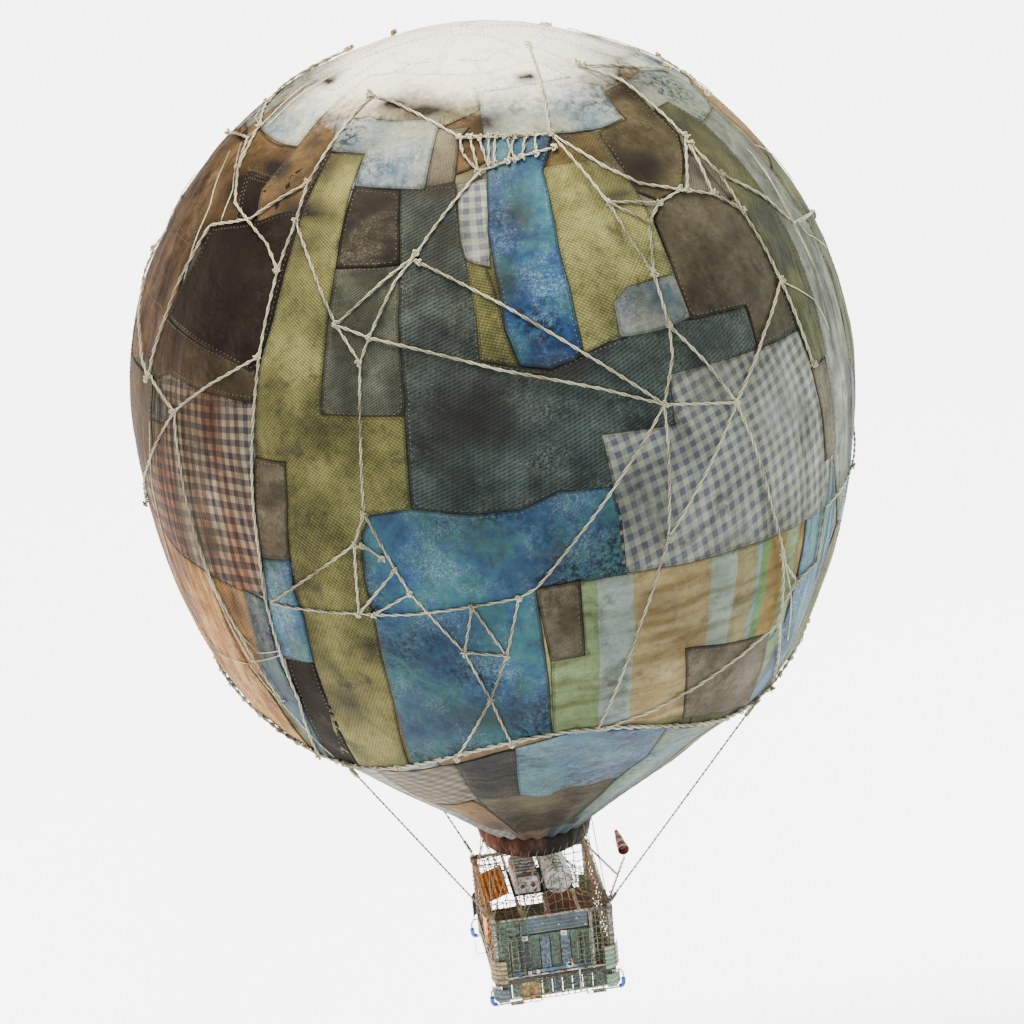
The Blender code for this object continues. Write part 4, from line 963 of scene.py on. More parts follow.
def spread_net(name, turn, slack):
    soup = ([], [], [])
    rope_lift = 3 * scrap_lift + net_rope_radius * 0.8
    used = {}
    for run in net_runs:
        path = []
        for first, second in zip(run, run[1:]):
            ends = []
            for knot in (first, second):
                azimuth, climb = net_knots[knot]
                shift = slack * math.sin(knot * 2.3)
                ends.append(bag_point(azimuth + turn + shift, climb + shift * 0.6, rope_lift))
                used[knot] = used.get(knot, 0) + 1
            parts = max(2, round((ends[1] - ends[0]).length / 0.12))
            for part in range(parts):
                path.append(on_bag(ends[0].lerp(ends[1], part / parts), rope_lift))
        path.append(ends[1])
        lay_rope(soup, path, net_rope_radius)
    for run in cord_runs:
        path = [bag_point(azimuth + turn, climb, 3 * scrap_lift + 0.01) for azimuth, climb in run]
        bends = []
        for start, end in zip(path, path[1:]):
            parts = max(2, round((end - start).length / 0.12))
            bends += [on_bag(start.lerp(end, p / parts), 3 * scrap_lift + 0.01) for p in range(parts)]
        lay_rope(soup, bends + [path[-1]], 0.012, 0.2, 0.06, 5)
    for knot, count in used.items():
        if count == 2:
            continue
        azimuth, climb = net_knots[knot]
        shift = slack * math.sin(knot * 2.3)
        spot = bag_point(azimuth + turn + shift, climb + shift * 0.6, rope_lift + 0.012)
        out = Vector((spot.x, spot.y, spot.z * 0.7)).normalized()
        tie_knot(soup, spot, out, 0.05, 0.019, knot)
    return rope_piece(name, soup, hemp_rope)

net_knots = [
    (225.7, 66.6), (260.9, 56.9), (270.1, 56.4), (284.2, 55.2), (261.5, 53.8),
    (264.8, 50.3), (271.8, 51.7), (283.4, 52.7), (263.6, 56.7), (265.9, 56.4),
    (267.2, 50.8), (268.4, 56.2), (268.5, 51.3), (272.8, 55.9), (273.5, 51.7),
    (274.9, 55.7), (277.7, 55.6), (275.2, 51.9), (280.1, 55.5), (278.8, 52.2),
    (255.9, 42.7), (251.9, 37.9), (248.5, 34.1), (244.5, 25.9), (243.2, 22.3),
    (243.4, 13.4), (243.1, 0.6), (241.1, -3.3), (223.9, -12.4), (238.6, 27.6),
    (252.5, 36.7), (265.9, 29.8), (277.6, 21.3), (288.7, 11.8), (264.8, 20.5),
    (279.4, 15.9), (226.8, 65.9), (224.7, 48.6), (225.9, 42.3), (225.2, 34.7),
    (225.1, 24.8), (225, 11.9), (224.3, -3), (222.9, -12.3), (222.7, -19.5), (222.4, -27.4),
    (217.6, -60), (190, 55.5), (197.8, 48.4), (205.9, 43.3), (220.8, 38.4), (201.5, 38.8),
    (208.4, 40.4), (213.7, 41.6), (198.9, 23.8), (194.9, 13), (169.9, 49.9), (190.2, 53),
    (224.9, 22), (206.3, 10.8), (197.8, 2.3), (183, -8.5), (196.1, 14), (208.4, -2.4),
    (210.7, -11), (213.9, -19.1), (217.4, -28.5), (240, -12.1), (247.4, -11.9),
    (257.5, -11), (264.4, -10.4), (267, -9.5), (246.9, -6.2), (248.7, -9.1), (255.5, -17.1),
    (258.5, -24.3), (260.9, -60), (242.3, -3.3), (245.2, -4.8), (242.5, -12),
    (261.8, -17.9), (250.7, -60), (292.5, 47.9), (298.4, 43.9), (306.6, 40.9),
    (313.9, 38.5), (318.2, 34.3), (318.6, 22.7), (320.5, 8.9), (289.6, 42.1), (291.2, 35.1),
    (292.8, 30.1), (292.5, 22.4), (291.7, 18.1), (300.1, 40), (295.9, 37.5), (319.2, 48.2),
    (308.2, 40.5), (318.7, 46.9), (319.5, 40.5), (326.8, 34.9), (332.2, 28.3), (346.1, 26),
    (315.2, 68), (321.4, 61.6), (316.8, 67), (339.5, 61.3), (352.3, 57.3), (310.5, 76.2),
    (294.6, 68.4), (310.4, 17), (301.1, 9), (297.1, 16), (287.5, -6.2), (286.4, -8.5),
    (282.7, -16.7), (276, -60), (308, -9.2), (311.5, -15.8), (315.9, -19.2), (322.7, -18.8),
    (323, -11.6), (337.6, -10.3), (312.7, -21.5), (312.3, -24.3), (291.8, -29.5),
    (310.1, -13.5), (313.4, -24.6), (324, -60),
]
net_runs = [
    [0, 1, 2, 3], [4, 5, 6, 7], [1, 4], [8, 5], [9, 10], [11, 10], [2, 12], [13, 14],
    [15, 6], [16, 17], [18, 19], [5, 20, 21, 22, 23, 24, 25, 26, 27, 28], [21, 29, 23],
    [30, 31, 32, 33], [23, 34, 35, 33], [36, 37, 38, 39, 40, 41, 42, 43, 44, 45, 46],
    [38, 29, 24], [47, 48, 49, 50, 39], [51, 52, 53, 37], [51, 54, 55], [56, 57, 48],
    [58, 59, 60, 61], [62, 59, 63, 64, 65, 66], [28, 67, 68, 69, 70, 71, 33],
    [26, 72, 73, 74, 75, 76], [27, 67], [77, 78], [72, 67], [73, 79], [70, 80, 75, 81],
    [69, 74], [69, 80], [74, 80], [3, 82, 83, 84, 85, 86, 87, 88],
    [3, 89, 90, 91, 92, 93, 33], [84, 94, 95, 91], [89, 94], [89, 95], [96, 97], [96, 85],
    [98, 99, 86], [99, 100, 101, 102], [103, 104, 96], [105, 106, 107], [108, 109, 3],
    [87, 110, 111], [92, 112, 111], [33, 111], [33, 113, 114, 115, 116], [111, 113],
    [111, 117, 118, 119], [119, 120, 121, 122], [119, 123, 124, 125, 116], [126, 127, 128],
]
# Thin cords that hold the net down where the sides are slack.
cord_runs = (
    ((191.7, 69.6), (191.0, 62.8), (193.9, 55.9)), ((196.7, 71.8), (183.5, 65.5), (190, 55.5)),
    ((174.2, 50.9), (190.2, 53.2)), ((188.3, 51.8), (201.6, 45.1), (204.6, 40)),
    ((186.2, 49.7), (196.2, 41.5), (201.2, 29.6)), ((175.1, 57), (180.6, 55.7), (190, 55.5)),
    ((209.5, -10.8), (214.3, -19.3), (217.4, -20.7), (223.2, -19.3)),
    ((210.4, -11.1), (213, -23.1), (223.1, -19.9)), ((212, -23.7), (217.5, -30.3), (222.6, -38.3)),
    ((196.7, 7), (194.2, -7.8), (191.4, -19.7), (197.5, -25.6), (212, -23.7)),
    ((343.4, 40.4), (357.5, 32.9), (356, 29.5)), ((336.5, 37.5), (332.1, 28), (331.2, 17.6)),
    ((352.1, 24.5), (334.3, 27.7), (335.8, 25.1), (344.8, 20)),
    ((336.6, 41.2), (334.9, 33.7), (332.1, 25.5), (331.9, 18.9)),
    ((318.6, 22.7), (326.6, 17.2), (329.2, 11.6)), ((311.5, -15.8), (316, -22.1), (320.1, -29.5)),
)


net_front = spread_net("envelope_net_front", 0, 0.0)
net_back = spread_net("envelope_net_back", 180, 1.6)

# The net's front and back halves are joined over the bag's two sides.
soup = ([], [], [])
for front, back in ((61, 122), (55, 102), (47, 107), (122, 61), (102, 55), (107, 47)):
    lift = 3 * scrap_lift + net_rope_radius * 0.8
    start = bag_point(*net_knots[front], lift)
    azimuth, climb = net_knots[back]
    shift = 1.6 * math.sin(back * 2.3)
    end = bag_point(azimuth + 180 + shift, climb + shift * 0.6, lift)
    parts = round((end - start).length / 0.12)
    lay_rope(soup, [on_bag(start.lerp(end, p / parts), lift) for p in range(parts + 1)], net_rope_radius)
rope_piece("envelope_net_joins", soup, hemp_rope)


# The cone under the hem
# The bag's lower cloth, drawn in by the heat and its own weight to the hide
# skirt. It is pieced like the bag and gathered in fine pleats at the hem.
cone_of = {}
cone_seams = []
for gore in range(12):
    name = ["slate", "gingham", "ochre", "blue", "burlap", "old_brown"][gore % 6]
    low, high = gore * 30 + 6, gore * 30 + 36
    outline = [Vector((low, 0.0)), Vector((low, 1.0)), Vector((high, 1.0)), Vector((high, 0.0))]
    scraps = cone_of.setdefault(name, Scraps())
    sew_scrap(scraps, cone_seams, outline, cone_point, cone_scale, 0.0, 5 * gore)
for number, (name, layer, turn, text) in enumerate(cone_scraps):
    layer += number % 4 * 0.24
    for quarter, other in ((0, name), (180, finish_swap.get(name, name))):
        outline = [Vector((spot.x + quarter, spot.y)) for spot in outline_of(text)]
        scraps = cone_of.setdefault(other, Scraps())
        sew_scrap(scraps, cone_seams, outline, cone_point, cone_scale, layer * scrap_lift, turn)
for name, scraps in cone_of.items():
    piece = cloth_piece("cone_" + name, cloths[name], scraps)
    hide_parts("mouth_cone")
sew_stitches("cone_stitches", cone_seams, twine)


# The load ring and the main stays
# A thick laid rope hangs round the hem in four swags. A long stay runs from
# each low point to a post. All are hemp, drawn taut and made fast with turns.
ring_rope_radius = 0.034
stay_radius = 0.021
half_width = 0.955
half_depth = 1.2
rim_height = -8.71
post_top = -8.66


def ring_spot(azimuth, out=0.0):
    """The middle of the load ring's rope, just over the bag's hem."""
    point, away = skin_point(azimuth, hem_climb(azimuth) + 0.36)
    return point + away * (0.036 + out)


def add_turns(soup, start, end, reach, radius, turns, sides=5):
    """Cord wound round a bar or a rope, from start to end."""
    start, end = Vector(start), Vector(end)
    along = (end - start).normalized()
    side = along.orthogonal().normalized()
    other = along.cross(side)
    steps = max(8, round(turns * 8))
    path = []
    for step in range(steps + 1):
        angle = step / steps * turns * math.tau
        away = side * math.cos(angle) + other * math.sin(angle)
        path.append(start.lerp(end, step / steps) + away * reach)
    lay_rope(soup, path, radius, pitch=0.08, pace=0.2, sides=sides)


soup = ([], [], [])
lay_rope(soup, [ring_spot(step * 2.0) for step in range(181)], ring_rope_radius, 0.36, 0.1)
for step in range(72):
    azimuth = step * 5 + 2.5
    add_turns(soup, ring_spot(azimuth - 0.4), ring_spot(azimuth + 0.4), 0.04, 0.010, 3)
load_rope = rope_piece("load_rope", soup, hemp_rope)
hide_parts("load_ring")

corners = {
    "front_left": (-135, -1, -1), "front_right": (-42, 1, -1),
    "back_right": (42, 1, 1), "back_left": (135, -1, 1),
}
for name, (azimuth, side_x, side_y) in corners.items():
    soup = ([], [], [])
    top = ring_spot(azimuth, 0.01)
    foot = Vector((side_x * half_width, side_y * half_depth, post_top + 0.02))
    lay_rope(soup, [foot.lerp(top, step / 40) for step in range(41)], stay_radius, 0.2, 0.05)
    run = (top - foot).normalized()
    add_turns(soup, top - run * 0.34, top - run * 0.10, 0.030, 0.011, 8)
    add_turns(soup, ring_spot(azimuth - 1.2), ring_spot(azimuth + 1.2), 0.048, 0.016, 6)
    add_turns(soup, foot - Vector((0, 0, 0.17)), foot - Vector((0, 0, 0.03)), 0.053, 0.012, 6)
    add_turns(soup, foot + run * 0.02, foot + run * 0.26, 0.029, 0.010, 9)
    piece = rope_piece("stay_rope_" + name, soup, stay_hemp)
    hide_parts("stay_" + name)


# The mouth and its stays
# A band of dark hide, wet-formed round the mouth and blackened by the flame.
# It is turned over the hoop and laced down. Thin stays of hemp hold the hoop
# over the gondola's rim, each made fast with a few turns at both ends.
hoop_radius = 0.84
hoop_height = -7.778


def hoop_spot(azimuth, rise=0.0, reach=0.02):
    turn = math.radians(azimuth)
    wide = hoop_radius + reach
    return Vector((wide * math.cos(turn), wide * math.sin(turn), hoop_height + rise))


def tie_stay(soup, top, foot, radius):
    """A thin stay, with turns round it at its top and at its foot."""
    top, foot = Vector(top), Vector(foot)
    run = (top - foot).normalized()
    lay_rope(soup, [foot.lerp(top, step / 12) for step in range(13)], radius, 0.13, 0.04)
    add_turns(soup, foot + run * 0.01, foot + run * 0.12, radius + 0.006, 0.007, 6)
    add_turns(soup, top - run * 0.10, top - run * 0.01, radius + 0.006, 0.007, 5)


thin_stays = (
    (235, 0.0, (-0.955, -1.2, -8.64)), (205, 0.30, (-0.955, -1.13, -8.70)),
    (236, 0.24, (-0.46, -1.2, -8.69)), (263, 0.0, (-0.47, -1.2, -8.69)),
    (284, 0.0, (-0.45, -1.2, -8.69)), (322, 0.30, (0.955, -1.2, -8.64)),
    (340, 0.45, (0.955, -1.14, -8.69)), (180, 0.0, (-0.955, 0.6, -8.68)),
    (192, 0.30, (-0.955, 0.45, -8.68)), (188, 0.0, (-0.58, -0.1, -8.53)),
    (0, 0.0, (0.955, 0.15, -8.69)), (12, 0.0, (0.955, 0.42, -8.69)),
    (90, 0.0, (0.47, 1.2, -8.69)), (98, 0.0, (-0.47, 1.2, -8.69)),
)
soup = ([], [], [])
for azimuth, rise, foot in thin_stays:
    tie_stay(soup, hoop_spot(azimuth, rise, 0.02 + 0.2 * rise), foot, 0.0115)
rope_piece("thin_stays", soup, stay_hemp)
for name, (azimuth, side_x, side_y) in corners.items():
    soup = ([], [], [])
    top = hoop_spot((35 if side_x > 0 else 145) * side_y)
    foot = Vector((side_x * half_width, side_y * 0.88, rim_height + 0.02))
    tie_stay(soup, top, foot, 0.0125)
    beside = Vector((0, 0.05, -0.01))
    add_turns(soup, foot - beside, foot + beside - Vector((0, 0, 0.02)), 0.046, 0.009, 5)
    piece = rope_piece("mouth_stay_rope_" + name, soup, stay_hemp)
    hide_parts("mouth_stay_" + name)


# Smoked hide: streaked brown-black leather, warmer and redder towards the left side.
def smoked_hide(name, pale, mid, dark, warm):
    finish, shader = new_finish(name, 0.85, Specular_IOR_Level=0.12)
    place = add_node(finish, "TexCoord").outputs["Object"]
    run = add_node(finish, "Mapping", {"Vector": place})
    run.inputs["Scale"].default_value = (1.0, 1.0, 0.35)
    streak = add_node(
        finish, "TexNoise", {"Vector": run.outputs["Vector"]}, Scale=7.0, Detail=9.0, Roughness=0.7
    )
    colour = add_ramp(finish, streak.outputs["Fac"], [(0.34, dark), (0.52, mid), (0.72, pale)])
    split = add_node(finish, "SeparateXYZ", {"Vector": place})
    # Towards the left side the streaks turn warmer and redder.
    side = add_node(
        finish, "MapRange", {"Value": split.outputs["X"]}, From_Min=0.1, From_Max=-0.9, To_Max=0.85
    )
    left_warm_tone = add_ramp(finish, streak.outputs["Fac"], [(0.34, "1d100a"), (0.52, warm), (0.75, "8c5836")])
    colour = blend_over(finish, side.outputs[0], colour, left_warm_tone)
    grain = add_node(finish, "TexVoronoi", {"Vector": place}, Scale=38.0)
    height = add_math(finish, "MULTIPLY_ADD", grain.outputs["Distance"], 0.15, streak.outputs["Fac"])
    bump = add_node(finish, "Bump", {"Height": height}, Strength=0.7, Distance=0.02)
    finish.node_tree.links.new(colour, shader.inputs["Base Color"])
    finish.node_tree.links.new(bump.outputs["Normal"], shader.inputs["Normal"])
    return finish


skirt_hide = smoked_hide("smoked_hide", "3a322a", "1f1a16", "0c0a09", "4a2114")
skirt_profile = (
    (0.936, -7.42), (0.944, -7.50), (0.942, -7.56), (0.92, -7.65), (0.886, -7.73),
    (0.874, -7.775), (0.868, -7.80), (0.845, -7.812), (0.818, -7.80), (0.812, -7.775),
)
around_count = 144
spots, faces = [], []
for step in range(around_count):
    turn = step * math.tau / around_count
    for level, (wide, height) in enumerate(skirt_profile):
        ruck = noise.noise(Vector((math.cos(turn) * 2.6, math.sin(turn) * 2.6, height * 5))) * 0.014
        wide += (ruck + math.sin(turn * 31 + height * 4) * 0.004) * min(1.0, level / 2)
        spots.append((wide * math.cos(turn), wide * math.sin(turn), height))
levels = len(skirt_profile)
for step in range(around_count):
    base, after = step * levels, (step + 1) % around_count * levels
    faces += [(base + n, base + n + 1, after + n + 1, after + n) for n in range(levels - 1)]
mesh = bpy.data.meshes.new("hide_skirt")
mesh.from_pydata(spots, [], faces)
mesh.materials.append(skirt_hide)
mesh.shade_smooth()
skirt = bpy.data.objects.new("hide_skirt", mesh)
bpy.context.collection.objects.link(skirt)
bpy.ops.object.select_all(action="DESELECT")
skirt.select_set(True)
bpy.context.view_layer.objects.active = skirt
thick = skirt.modifiers.new("hide", "SOLIDIFY")
thick.thickness = 0.006
thick.offset = -1
bpy.ops.object.modifier_apply(modifier="hide")
bpy.ops.object.mode_set(mode="EDIT")
bpy.ops.mesh.select_all(action="SELECT")
bpy.ops.mesh.normals_make_consistent(inside=False)
bpy.ops.object.mode_set(mode="OBJECT")
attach(skirt, "body")
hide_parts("skirt")

soup = ([], [], [])
for step in range(44):
    turn = math.radians(step * 360 / 44)
    out = Vector((math.cos(turn), math.sin(turn), 0))
    ahead = Vector((-out.y, out.x, 0)) * 0.045
    low = out * 0.890 + Vector((0, 0, -7.80))
    high = out * 0.928 + Vector((0, 0, -7.655)) + ahead
    lay_rope(
        soup, [low - out * 0.05 - Vector((0, 0, 0.02)), low, high, high - out * 0.04], 0.006, 0.09,
        sides=5,
    )
rope_piece("skirt_lacing", soup, stay_hemp)


# The gondola's painted steel and boards
# Tubes, sheets and boards of scrap, painted long ago in white, green, blue
# and orange. The paint has chipped to bare rust along each edge and hollow.


def paint_node(finish, *names):
    """Give a finish to pieces whose own shape is right."""
    for name in names:
        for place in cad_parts[name].material_slots:
            place.material = finish


def finish_paint(finish, shader, place, colour, chips, rusts, amount=0.5, dirt="3a2c20", grain=9.0):
    """Chips to rust, run-down dirt and a rough surface, which all the paint has."""
    broad = add_node(finish, "TexNoise", {"Vector": place}, Scale=grain, Detail=9.0, Roughness=0.72)
    fine = add_node(finish, "TexNoise", {"Vector": place}, Scale=grain * 5, Detail=6.0, Roughness=0.75)
    worn = add_math(finish, "MULTIPLY_ADD", fine.outputs["Fac"], 0.45, broad.outputs["Fac"])
    edge = 1.02 - 0.42 * amount
    chipped = add_ramp(finish, worn, [(edge, "000000"), (edge + 0.03, "ffffff")])
    rim = add_ramp(finish, worn, [(edge - 0.09, "ffffff"), (edge, "8d6a4a"), (edge + 0.1, "ffffff")])
    rusty = add_ramp(finish, fine.outputs["Fac"], [(0.3, rusts[0]), (0.5, rusts[1]), (0.68, rusts[2])])
    colour = blend_over(finish, 0.75, colour, rim, "MULTIPLY")
    colour = blend_over(finish, chipped, colour, rusty)
    darkening = add_node(finish, "TexNoise", {"Vector": place}, Scale=5.5, Detail=8.0, Roughness=0.72)
    darkening = add_ramp(finish, darkening.outputs["Fac"], [(0.44, "000000"), (0.64, "ffffff")])
    colour = blend_over(finish, add_math(finish, "MULTIPLY", darkening, 0.72), colour, dirt)
    shine = add_node(finish, "MapRange", {"Value": worn}, From_Min=0.4, From_Max=0.95, To_Min=0.38, To_Max=0.9)
    rise = add_math(finish, "MULTIPLY_ADD", chipped, -0.35, fine.outputs["Fac"])
    bump = add_node(finish, "Bump", {"Height": rise}, Strength=0.65, Distance=chips)
    finish.node_tree.links.new(colour, shader.inputs["Base Color"])
    finish.node_tree.links.new(shine.outputs[0], shader.inputs["Roughness"])
    finish.node_tree.links.new(bump.outputs["Normal"], shader.inputs["Normal"])


steel_rust = ("3c1d10", "7d3f1d", "b56a35")


# Oil paint on steel: thick, brushed on, and chipped to rust.
def chipped_paint(name, pale, dark, amount=0.5, grain=9.0, rusts=steel_rust):
    finish, shader = new_finish(name, 0.6)
    place = add_node(finish, "TexCoord").outputs["Object"]
    cloud = add_node(finish, "TexNoise", {"Vector": place}, Scale=5.0, Detail=6.0, Roughness=0.6)
    colour = add_ramp(finish, cloud.outputs["Fac"], [(0.36, dark), (0.6, pale)])
    finish_paint(finish, shader, place, colour, 0.006, rusts, amount, grain=grain)
    return finish


# Paint laid on in bands that follow a sheet's waves or a row of boards.
def banded_paint(name, axis, start, pitch, bands, way="LINEAR", amount=0.5, grain=9.0, stray=0.3, fleck=None,
                 rusts=steel_rust):
    finish, shader = new_finish(name, 0.6)
    place = add_node(finish, "TexCoord").outputs["Object"]
    split = add_node(finish, "SeparateXYZ", {"Vector": place})
    wander = add_node(finish, "TexNoise", {"Vector": place}, Scale=11.0, Detail=5.0, Roughness=0.7)
    run = add_math(finish, "SUBTRACT", split.outputs[axis], start)
    run = add_math(finish, "DIVIDE", run, pitch)
    drift = add_math(finish, "MULTIPLY_ADD", wander.outputs["Fac"], stray, -0.5 * stray)
    run = add_math(finish, "FRACT", add_math(finish, "ADD", run, drift))
    colour = add_ramp(finish, run, bands, way)
    tint = add_ramp(finish, wander.outputs["Fac"], [(0.3, "9a978c"), (0.62, "ffffff")])
    colour = blend_over(finish, 0.7, colour, tint, "MULTIPLY")
    if fleck:
        lichen = add_node(finish, "TexNoise", {"Vector": place}, Scale=26.0, Detail=5.0, Roughness=0.7)
        lichen = add_ramp(finish, lichen.outputs["Fac"], [(0.53, "000000"), (0.59, "ffffff")])
        colour = blend_over(finish, lichen, colour, fleck)
    finish_paint(finish, shader, place, colour, 0.006, rusts, amount, grain=grain)
    return finish


bare_wood = ("20150e", "3f2a1a", "74502f")
white_paint = chipped_paint("chipped_white_paint", "f2ede2", "c9bba6", 0.5, 10.0)
white_enamel = chipped_paint("chipped_white_enamel", "fbfaf6", "d9d5cc", 0.5, 20.0)
ribbed_enamel = banded_paint(
    "ribbed_enamel", "Y", -0.47, 0.1,
    [(0.0, "5b2a18"), (0.1, "e9e2d6"), (0.3, "fbfaf6"), (0.8, "ece6da"), (0.94, "6e3320")],
    amount=0.55, grain=20.0, stray=0.2,
)
green_paint = banded_paint(
    "chipped_green_paint", "Z", 0.0, 0.5, [(0.0, "4a7565"), (0.5, "6b9885"), (1.0, "4a7565")], amount=0.62, grain=20.0,
    rusts=bare_wood,
)
gate_paint = banded_paint(
    "gate_board_paint", "X", -0.7285, 8 * 0.1671,
    [(0.0, "4c7462"), (0.125, "35546c"), (0.25, "4c7462"), (0.375, "6d96b3"), (0.5, "4f7b66"),
     (0.625, "6a90ad"), (0.75, "527d67"), (0.875, "46695a")],
    "CONSTANT", 0.66, 22.0, 0.0, rusts=bare_wood,
)
apron_paint = banded_paint(
    "apron_board_paint", "X", -0.922, 11 * 0.16766,
    [(0.0, "5c7c6c"), (0.09, "6d8f7d"), (0.27, "55786a"), (0.36, "5c8777"), (0.454, "4f7594"),
     (0.545, "5d8a76"), (0.636, "6289a3"), (0.727, "648f7a"), (0.909, "56786a")],
    "CONSTANT", 0.66, 22.0, 0.0, rusts=bare_wood,
)
striped_paint = banded_paint(
    "blue_and_mustard_paint", "Z", -8.975, 0.06625,
    [(0.0, "8c7c35"), (0.3, "85813f"), (0.42, "3f7299"), (0.8, "4f86ac"), (0.95, "8c7c35")],
    amount=0.42, grain=26.0,
)
orange_paint = banded_paint(
    "orange_sheet_paint", "X", -0.955, 0.076,
    [(0.0, "7a3514"), (0.22, "c95f18"), (0.5, "ef8424"), (0.8, "d86b1a"), (1.0, "7a3514")],
    amount=0.36, grain=22.0, stray=0.2, fleck="f3c93c",
)
ochre_paint = banded_paint(
    "ochre_sheet_paint", "Z", -9.80, 0.084,
    [(0.0, "6a4423"), (0.25, "b58f4d"), (0.5, "d8c48c"), (0.75, "a9b58a"), (1.0, "6a4423")],
    amount=0.52, grain=24.0, stray=0.25,
)
blue_sheet_paint = banded_paint(
    "blue_sheet_paint", "Z", -10.135, 0.0767,
    [(0.0, "7b6b30"), (0.3, "5b7f96"), (0.55, "7fa3b8"), (0.8, "4f7890"), (1.0, "7b6b30")],
    amount=0.52, grain=24.0, stray=0.25,
)
mint_paint = banded_paint(
    "mint_sheet_paint", "Z", -9.80, 0.084,
    [(0.0, "7f7440"), (0.2, "7fae90"), (0.5, "a5cdb1"), (0.8, "86b597"), (1.0, "7f7440")],
    amount=0.46, grain=24.0, stray=0.25,
)
crate_paint = chipped_paint("rust_red_paint", "8a3a1c", "4e2314", 0.6, 8.0)
floor_paint = banded_paint(
    "floor_boards", "X", 0.0, 0.19, [(0.0, "1f1a16"), (0.08, "4c4338"), (0.9, "413a31"), (1.0, "1f1a16")],
    amount=0.4, stray=0.05,
)
dark_iron = chipped_paint("smoked_iron", "4b4642", "2b2725", 0.5, 12.0)

# Peeled wood: the left rail and its post, cream and rust-brown in long runs.
peeled_wood, shader = new_finish("peeled_wood", 0.75)
place = add_node(peeled_wood, "TexCoord").outputs["Object"]
run = add_node(peeled_wood, "Mapping", {"Vector": place})
run.inputs["Scale"].default_value = (5.0, 0.7, 5.0)
grain = add_node(
    peeled_wood, "TexNoise", {"Vector": run.outputs["Vector"]}, Scale=5.0, Detail=9.0, Roughness=0.72
)
colour = add_ramp(
    peeled_wood, grain.outputs["Fac"], [(0.34, "3f2314"), (0.47, "96582b"), (0.54, "d9a468"), (0.66, "f1dfbd")]
)
bump = add_node(peeled_wood, "Bump", {"Height": grain.outputs["Fac"]}, Strength=0.8, Distance=0.012)
peeled_wood.node_tree.links.new(colour, shader.inputs["Base Color"])
peeled_wood.node_tree.links.new(bump.outputs["Normal"], shader.inputs["Normal"])

paint_node(
    white_paint, "rail_front", "rail_back", "rail_right", "pipe_left", "pipe_right", "post_front_left",
    "post_front_right", "post_back_left", "post_back_right", "gate_post", "hinge_rod", "gate_lever",
    "gate_latch", "windsock_pole", "windsock_brace", "windsock_hoop", "skid_frame",
)
paint_node(white_enamel, "gas_cylinder")
paint_node(ribbed_enamel, "heater")
paint_node(peeled_wood, "rail_left")
paint_node(gate_paint, "gate_slats")
paint_node(green_paint, "gate_top_rail", "green_panel", "front_board")
paint_node(blue_sheet_paint, "fender_front_left_lower", "fender_back_left")
paint_node(striped_paint, "striped_panel")
paint_node(orange_paint, "orange_lid")
paint_node(chipped_paint("bright_orange_paint", "fba436", "e27c1c", 0.35, 20.0), "side_panel")
paint_node(ochre_paint, "fender_front_left_upper")
paint_node(mint_paint, "fender_front_right_upper", "fender_front_right_lower", "fender_back_right")
paint_node(crate_paint, "crate")
paint_node(floor_paint, "floor")
paint_node(dark_iron, "burner_tray")
paint_node(skirt_hide, "mouth_hoop")
hinge_paint = chipped_paint("chipped_blue_paint", "5d8093", "3c5767", 0.55, 14.0)
paint_node(hinge_paint, "gate_bottom_rail")

# The apron's plate is rust-orange, with lime-green flecks of an older coat.
fleck_paint, shader = new_finish("flecked_orange_paint", 0.7)
place = add_node(fleck_paint, "TexCoord").outputs["Object"]
run = add_node(fleck_paint, "Mapping", {"Vector": place})
run.inputs["Scale"].default_value = (1.6, 1.0, 0.6)
fleck = add_node(fleck_paint, "TexNoise", {"Vector": run.outputs["Vector"]}, Scale=22.0, Detail=3.0)
fleck = add_ramp(fleck_paint, fleck.outputs["Fac"], [(0.56, "000000"), (0.6, "ffffff")])
band = add_node(fleck_paint, "TexNoise", {"Vector": run.outputs["Vector"]}, Scale=8.0, Detail=6.0)
ground_colour = add_ramp(
    fleck_paint, band.outputs["Fac"], [(0.35, "6e3f1f"), (0.5, "a5693a"), (0.65, "c08a4c")]
)
colour = blend_over(fleck_paint, fleck, ground_colour, "8fc653")
finish_paint(fleck_paint, shader, place, colour, 0.005, steel_rust, 0.34, grain=14.0)


# The gondola's nets
# Hemp nets of square meshes, knotted by hand and laced to the rails and the
# floor. Olive ones cover the front and the gear, rust-brown ones the sides.


def hang_net(soup, place, columns, rows, radius, stray=0.22, seed=0.0):
    """A net over a surface, which place(u, v) gives for u and v from 0 to 1."""
    knots = {}
    for column in range(columns + 1):
        for row in range(rows + 1):
            pull = noise.noise_vector(Vector((column * 0.71, row * 0.83, seed)))
            loose_u = stray if 0 < column < columns else 0.0
            loose_v = stray if 0 < row < rows else 0.0
            u = (column + pull.x * loose_u) / columns
            v = (row + pull.y * loose_v) / rows
            knots[column, row] = place(u, v) + Vector((0, 0, pull.z * 0.012))
    runs = [[knots[column, row] for row in range(rows + 1)] for column in range(columns + 1)]
    runs += [[knots[column, row] for column in range(columns + 1)] for row in range(rows + 1)]
    for run in runs:
        path = []
        for first, second in zip(run, run[1:]):
            sag = Vector((0, 0, -0.02 * abs(math.sin(first.x * 9 + first.y * 7 + first.z * 5))))
            path += [first, first.lerp(second, 0.35) + sag, first.lerp(second, 0.65) + sag]
        lay_rope(soup, path + [run[-1]], radius, pitch=0.07, pace=0.2, sides=5, lobes=0.0)
    for spot in knots.values():
        add_turns(
            soup, spot - Vector((0, 0, radius)), spot + Vector((0, 0, radius)), radius * 1.1,
            radius * 0.9, 1.4, sides=4,
        )


